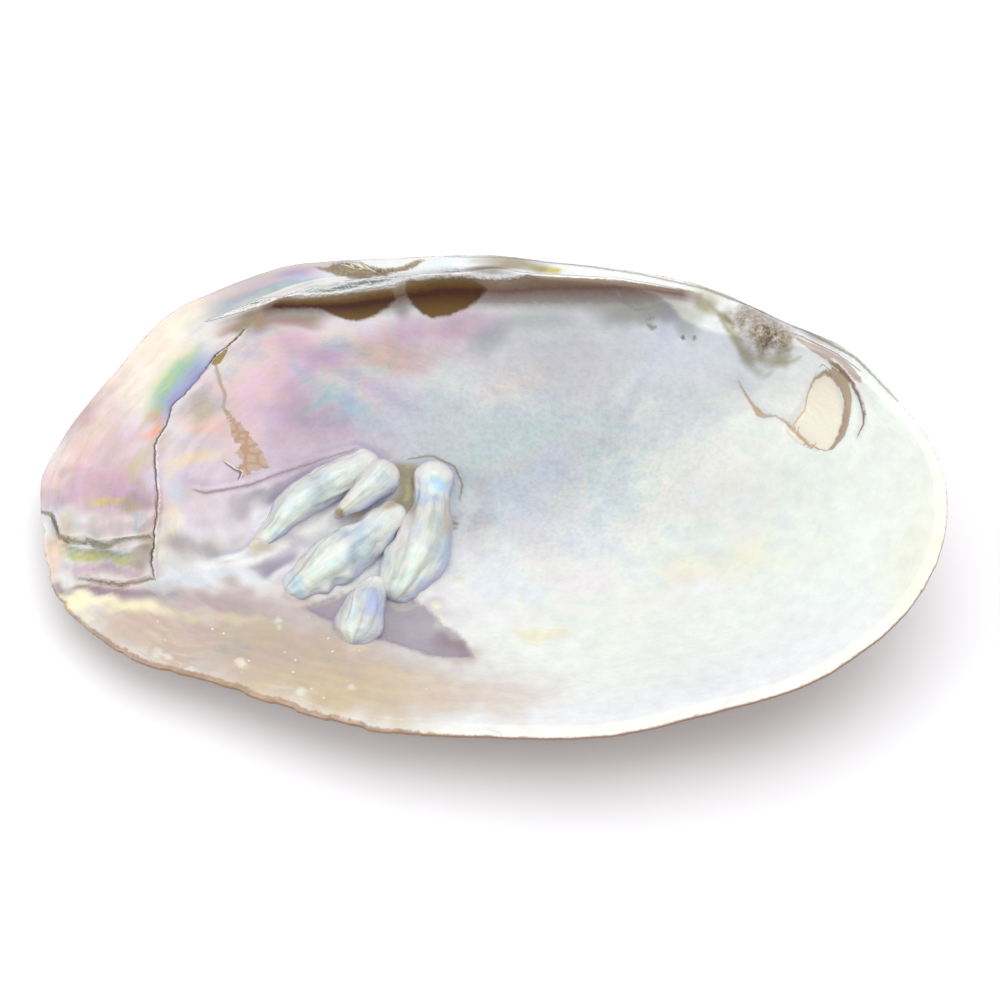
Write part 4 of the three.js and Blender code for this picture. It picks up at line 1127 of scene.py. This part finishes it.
def worn_edge(tree, place, layer, mottle, wobble, colour):
    """Peach to pink-brown edge of the layers at the rim, widest at the rear and on the belly side"""
    from_rim = add(tree, "Math", [wobble, 1.6, (layer, "Z")], operation="MULTIPLY_ADD")
    rear_rim = soft_spot(tree, place, -50, -32, 62, 22, -18, 1.0)
    edge_width = add(tree, "Math", [rear_rim, 1.1, -0.05], operation="MULTIPLY_ADD")
    at_edge = add(tree, "Math", [edge_width, from_rim], operation="SUBTRACT")
    edge = add(tree, "MapRange", {0: at_edge, 1: -0.25, 2: 0.25, 3: 0.0, 4: 0.8})
    worn = add(tree, "ValToRGB", [mottle], [(0.40, "#946c5c"), (0.60, "#b48c78")])
    return add(tree, "Mix", {0: edge, 6: colour, 7: worn}, data_type="RGBA")


# The outer skin, from one growth band to the next, and how many bands it has from the beak to the rim
SKIN_TINTS = [(0.3, "#4a3724"), (0.5, "#6d5234"), (0.62, "#8a6a40"), (0.75, "#5d4a2c")]
SKIN_BANDS = 42.0


def outer_skin(tree, place, growth):
    """The horny skin of the outer face: olive brown in bands along the growth lines, pale where it is worn
    off the beak, and peach at the rim"""
    along = add(tree, "Math", [growth, SKIN_BANDS], operation="MULTIPLY")
    bands = add(tree, "TexNoise", {"W": along, "Scale": 1.0, "Detail": 3.0}, noise_dimensions="1D")
    skin = add(tree, "ValToRGB", [bands], SKIN_TINTS)
    beak = soft_spot(tree, place, BEAK_X, BEAK_Y - 4, 26, 18, -10, 1.0)
    skin = add(tree, "Mix", {0: beak, 6: skin, 7: "#c9bdb0"}, data_type="RGBA")
    near_rim = add(tree, "MapRange", {0: growth, 1: 0.965, 2: 0.992, 3: 0.0, 4: 0.85})
    return add(tree, "Mix", {0: near_rim, 6: skin, 7: "#a67f5c"}, data_type="RGBA")


# How deep each family's lines are cut, or how high they stand, in millimetres
LINE_RELIEF = {"breaks": -0.25, "steps": -0.25, "seams": -0.10, "strands": 0.35}


def fine_relief(tree, place, brushed, wobble):
    """Relief too fine for the mesh, in millimetres: grain, brushed streaks and the grooves of the cracks"""
    grain = add(tree, "TexNoise", {"Vector": place, "Scale": 1.0, "Detail": 5.0, "Roughness": 0.6})
    relief = add(tree, "Math", [grain, 0.10], operation="MULTIPLY")
    relief = add(tree, "Math", [brushed, 0.2, relief], operation="MULTIPLY_ADD")
    cusp = add(tree, "Math", [patch_mask(tree, "cusp_rough", 1.2, wobble), grain], operation="MULTIPLY")
    relief = add(tree, "Math", [cusp, 1.2, relief], operation="MULTIPLY_ADD")
    for name, depth in LINE_RELIEF.items():
        mask, pick = line_mask(tree, name, 0.05, 0.22, wobble)
        relief = add(tree, "Math", [mask, depth, relief], operation="MULTIPLY_ADD")
    return add(tree, "Bump", {"Height": relief, "Strength": 1.0, "Distance": MM})


def nacre_material():
    """Nacre, natural and unpolished: satin lustre with a clear gloss over it, pastel film colours in the
    ground, brown where organic matter filled the cracks and stained the wall under the hinge. Painted shade
    darkens it under the teeth and the strands, below the steps, round the pearls and in the hollowed patch,
    with painted highlights on the broken edges and above the belly"""
    material, tree = new_material("nacre, natural")
    place = (add(tree, "Attribute", attribute_name="place"), "Vector")
    layer = add(tree, "SeparateXYZ", [(add(tree, "Attribute", attribute_name="layer"), "Vector")])
    flow = (add(tree, "Attribute", attribute_name="flow"), "Vector")
    ground = (add(tree, "Attribute", attribute_name="ground"), "Vector")
    rough_noise = add(tree, "TexNoise", {"Vector": place, "Scale": 0.9, "Detail": 4.0, "Roughness": 0.65})
    wobble = add(tree, "Math", [rough_noise, 0.5], operation="SUBTRACT")
    rough_spots = add(tree, "TexNoise", {"Vector": place, "Scale": 1 / 0.625, "Detail": 2.0})
    mottle = add(tree, "TexNoise", {"Vector": place, "Scale": 1 / 4, "Detail": 6.0, "Roughness": 0.65})
    brushed = add(tree, "TexNoise", {"Vector": flow, "Scale": 1.0, "Detail": 4.0, "Roughness": 0.6})

    # The film colours are mottled all over, grainy in the middle and brushed at the rear
    colour = nacre_film(tree, place, layer, brushed, ground)
    shade = add(tree, "ValToRGB", [mottle], [(0.32, "#d9d3d6"), (0.68, "#ffffff")])
    colour = add(tree, "Mix", {0: 0.35, 6: colour, 7: shade}, data_type="RGBA", blend_type="MULTIPLY")
    grainy = add(tree, "ValToRGB", [rough_noise], [(0.40, "#dcdde4"), (0.56, "#ffffff")])
    middle = soft_spot(tree, place, 6, 18, 74, 42, 0, 0.4)
    colour = add(tree, "Mix", {0: middle, 6: colour, 7: grainy}, data_type="RGBA", blend_type="MULTIPLY")
    streaked = add(tree, "ValToRGB", [brushed], [(0.35, "#d6cbd0"), (0.62, "#ffffff")])
    rear = soft_spot(tree, place, -66, 6, 52, 60, 0, 0.5)
    colour = add(tree, "Mix", {0: rear, 6: colour, 7: streaked}, data_type="RGBA", blend_type="MULTIPLY")

    colour = plain_patches(tree, wobble, colour)
    colour = belly_flecks(tree, place, rough_spots, colour)
    colour, matt = hinge_wall(tree, wobble, colour)
    colour = flake_and_feathers(tree, place, wobble, rough_spots, colour)
    colour = rough_cusp(tree, place, wobble, colour)
    colour = line_marks(tree, wobble, colour)
    colour = worn_edge(tree, place, layer, mottle, wobble, colour)
    outside = add(tree, "MapRange", {0: (layer, "X"), 1: 0.05, 2: 0.25, 3: 0.0, 4: 1.0})
    skin = outer_skin(tree, place, (layer, "Y"))
    colour = add(tree, "Mix", {0: outside, 6: colour, 7: skin}, data_type="RGBA")

    # The stains, the band of painted shade under the teeth and the outer skin are matt, and the nacre glossy
    matt = add(tree, "Math", [matt, outside], operation="MAXIMUM")
    roughness = add(tree, "MapRange", {0: matt, 1: 0.0, 2: 1.0, 3: 0.30, 4: 0.62})
    gloss = add(tree, "MapRange", {0: matt, 1: 0.0, 2: 1.0, 3: 0.5, 4: 0.15})
    coat = add(tree, "MapRange", {0: matt, 1: 0.0, 2: 1.0, 3: 0.35, 4: 0.05})
    shader = add(tree, "BsdfPrincipled", {
        "Base Color": colour, "Roughness": roughness, "IOR": 1.55, "Metallic": 0.0,
        "Normal": fine_relief(tree, place, brushed, wobble),
        "Specular IOR Level": gloss, "Coat Weight": coat, "Coat Roughness": 0.18, "Coat IOR": 1.5,
        "Thin Film Thickness": 420.0, "Thin Film IOR": 1.36})
    add(tree, "OutputMaterial", {"Surface": shader})
    return material


# The pearls' body colour, in clouds some 6 mm across, and that of their low sides, their own tint darkened
# as painted shade, from left to right
PEARL_TINTS = [(0.36, "#c4d0dc"), (0.46, "#d8dcdd"), (0.56, "#e2dfd6"), (0.68, "#cfd8d8")]
PEARL_SIDE_TINTS_AND_SHADE = [(0.1, "#b4c6cc"), (0.5, "#c0c6d2"), (0.9, "#abb0da")]


def pearl_material():
    """Pearl, baroque, as grown: white with a high soft lustre, streaked with cream along its length and blue
    to violet low on its sides, that tint deepened as painted shade"""
    material, tree = new_material("pearl, baroque")
    place = (add(tree, "Attribute", attribute_name="place"), "Vector")
    way = add(tree, "SeparateXYZ", [(add(tree, "Attribute", attribute_name="way"), "Vector")])
    streak = (add(tree, "Attribute", attribute_name="streak"), "Vector")
    brushed = add(tree, "TexNoise", {"Vector": streak, "Scale": 1.0, "Detail": 4.0, "Roughness": 0.6})
    cloud = add(tree, "TexNoise", {"Vector": place, "Scale": 1 / 6, "Detail": 3.0, "Roughness": 0.5})
    colour = add(tree, "ValToRGB", [cloud], PEARL_TINTS)
    shade = add(tree, "ValToRGB", [brushed], [(0.36, "#c6c6c2"), (0.48, "#e6e6e2"), (0.62, "#ffffff")])
    colour = add(tree, "Mix", {0: 0.7, 6: colour, 7: shade}, data_type="RGBA", blend_type="MULTIPLY")

    # The heads are white, and the sides low down are blue-violet on the right and blue-green on the left, a
    # tint deepened as painted shade where the pearls sit down in the nacre
    head = add(tree, "MapRange", {0: (way, "X"), 1: 0.28, 2: 0.10, 3: 0.0, 4: 0.7})
    colour = add(tree, "Mix", {0: head, 6: colour, 7: "#e9e8e2"}, data_type="RGBA")
    sideways = add(tree, "Math", [(way, "Y"), 0.5, 0.5], operation="MULTIPLY_ADD")
    sides = add(tree, "ValToRGB", [sideways], PEARL_SIDE_TINTS_AND_SHADE)
    low = add(tree, "Math", [brushed, 0.5, (way, "Z")], operation="MULTIPLY_ADD")
    low = add(tree, "MapRange", {0: low, 1: 0.80, 2: 0.05, 3: 0.0, 4: 0.75})
    colour = add(tree, "Mix", {0: low, 6: colour, 7: sides}, data_type="RGBA")
    for x, y, along, across, turn, strength, shade in PEARL_WASHES:
        mask = soft_spot(tree, place, x, y, along, across, turn, strength)
        colour = add(tree, "Mix", {0: mask, 6: colour, 7: shade}, data_type="RGBA")

    relief = add(tree, "TexNoise", {"Vector": place, "Scale": 0.9, "Detail": 4.0})
    relief = add(tree, "Math", [brushed, 3.0, relief], operation="MULTIPLY_ADD")
    bump = add(tree, "Bump", {"Height": relief, "Strength": 0.6, "Distance": MM / 5})
    shader = add(tree, "BsdfPrincipled", {
        "Base Color": colour, "Roughness": 0.25, "IOR": 1.55, "Normal": bump,
        "Coat Weight": 0.4, "Coat Roughness": 0.12, "Coat IOR": 1.5,
        "Thin Film Thickness": 380.0, "Thin Film IOR": 1.36})
    add(tree, "OutputMaterial", {"Surface": shader})
    return material


# Floor and light


def lay_floor():
    material, tree = new_material("paper, white matt")
    shader = add(tree, "BsdfPrincipled", {"Base Color": "#fafafd", "Roughness": 0.9})
    add(tree, "OutputMaterial", {"Surface": shader})
    shape = bmesh.new()
    bmesh.ops.create_grid(shape, x_segments=1, y_segments=1, size=3)
    mesh = bpy.data.meshes.new("floor")
    shape.to_mesh(mesh)
    shape.free()
    mesh.materials.append(material)
    floor = bpy.data.objects.new("floor", mesh)
    bpy.context.scene.collection.objects.link(floor)


# Soft lamps: place and width in metres, and power in watts
SOFTBOXES = {"overhead_softbox": ((0.1, 0.15, 1.1), 1.0, 5.0), "left_softbox": ((-0.8, -0.3, 0.7), 0.5, 1.5)}
# Strength of the white room's light
ROOM_LIGHT = 0.84


def add_softbox(name, place, size, power):
    lamp = bpy.data.lights.new(name, "AREA")
    lamp.shape = "DISK"
    lamp.size = size
    lamp.energy = power
    box = bpy.data.objects.new(name, lamp)
    bpy.context.scene.collection.objects.link(box)
    box.location = place
    box.rotation_euler = (-Vector(place)).to_track_quat("-Z", "Y").to_euler()


def light_studio():
    world = bpy.data.worlds.new("studio")
    bpy.context.scene.world = world
    world.use_nodes = True
    background = world.node_tree.nodes["Background"]
    background.inputs["Color"].default_value = linear("#ffffff")
    background.inputs["Strength"].default_value = ROOM_LIGHT
    for name, (place, size, power) in SOFTBOXES.items():
        add_softbox(name, place, size, power)
    bpy.context.scene.view_settings.view_transform = "Standard"


place_camera()
lay_floor()
light_studio()
make_valve(nacre_material())
pearl_nacre = pearl_material()
for pearl_name, pearl_line in PEARLS.items():
    make_pearl(pearl_name, pearl_line, pearl_nacre)
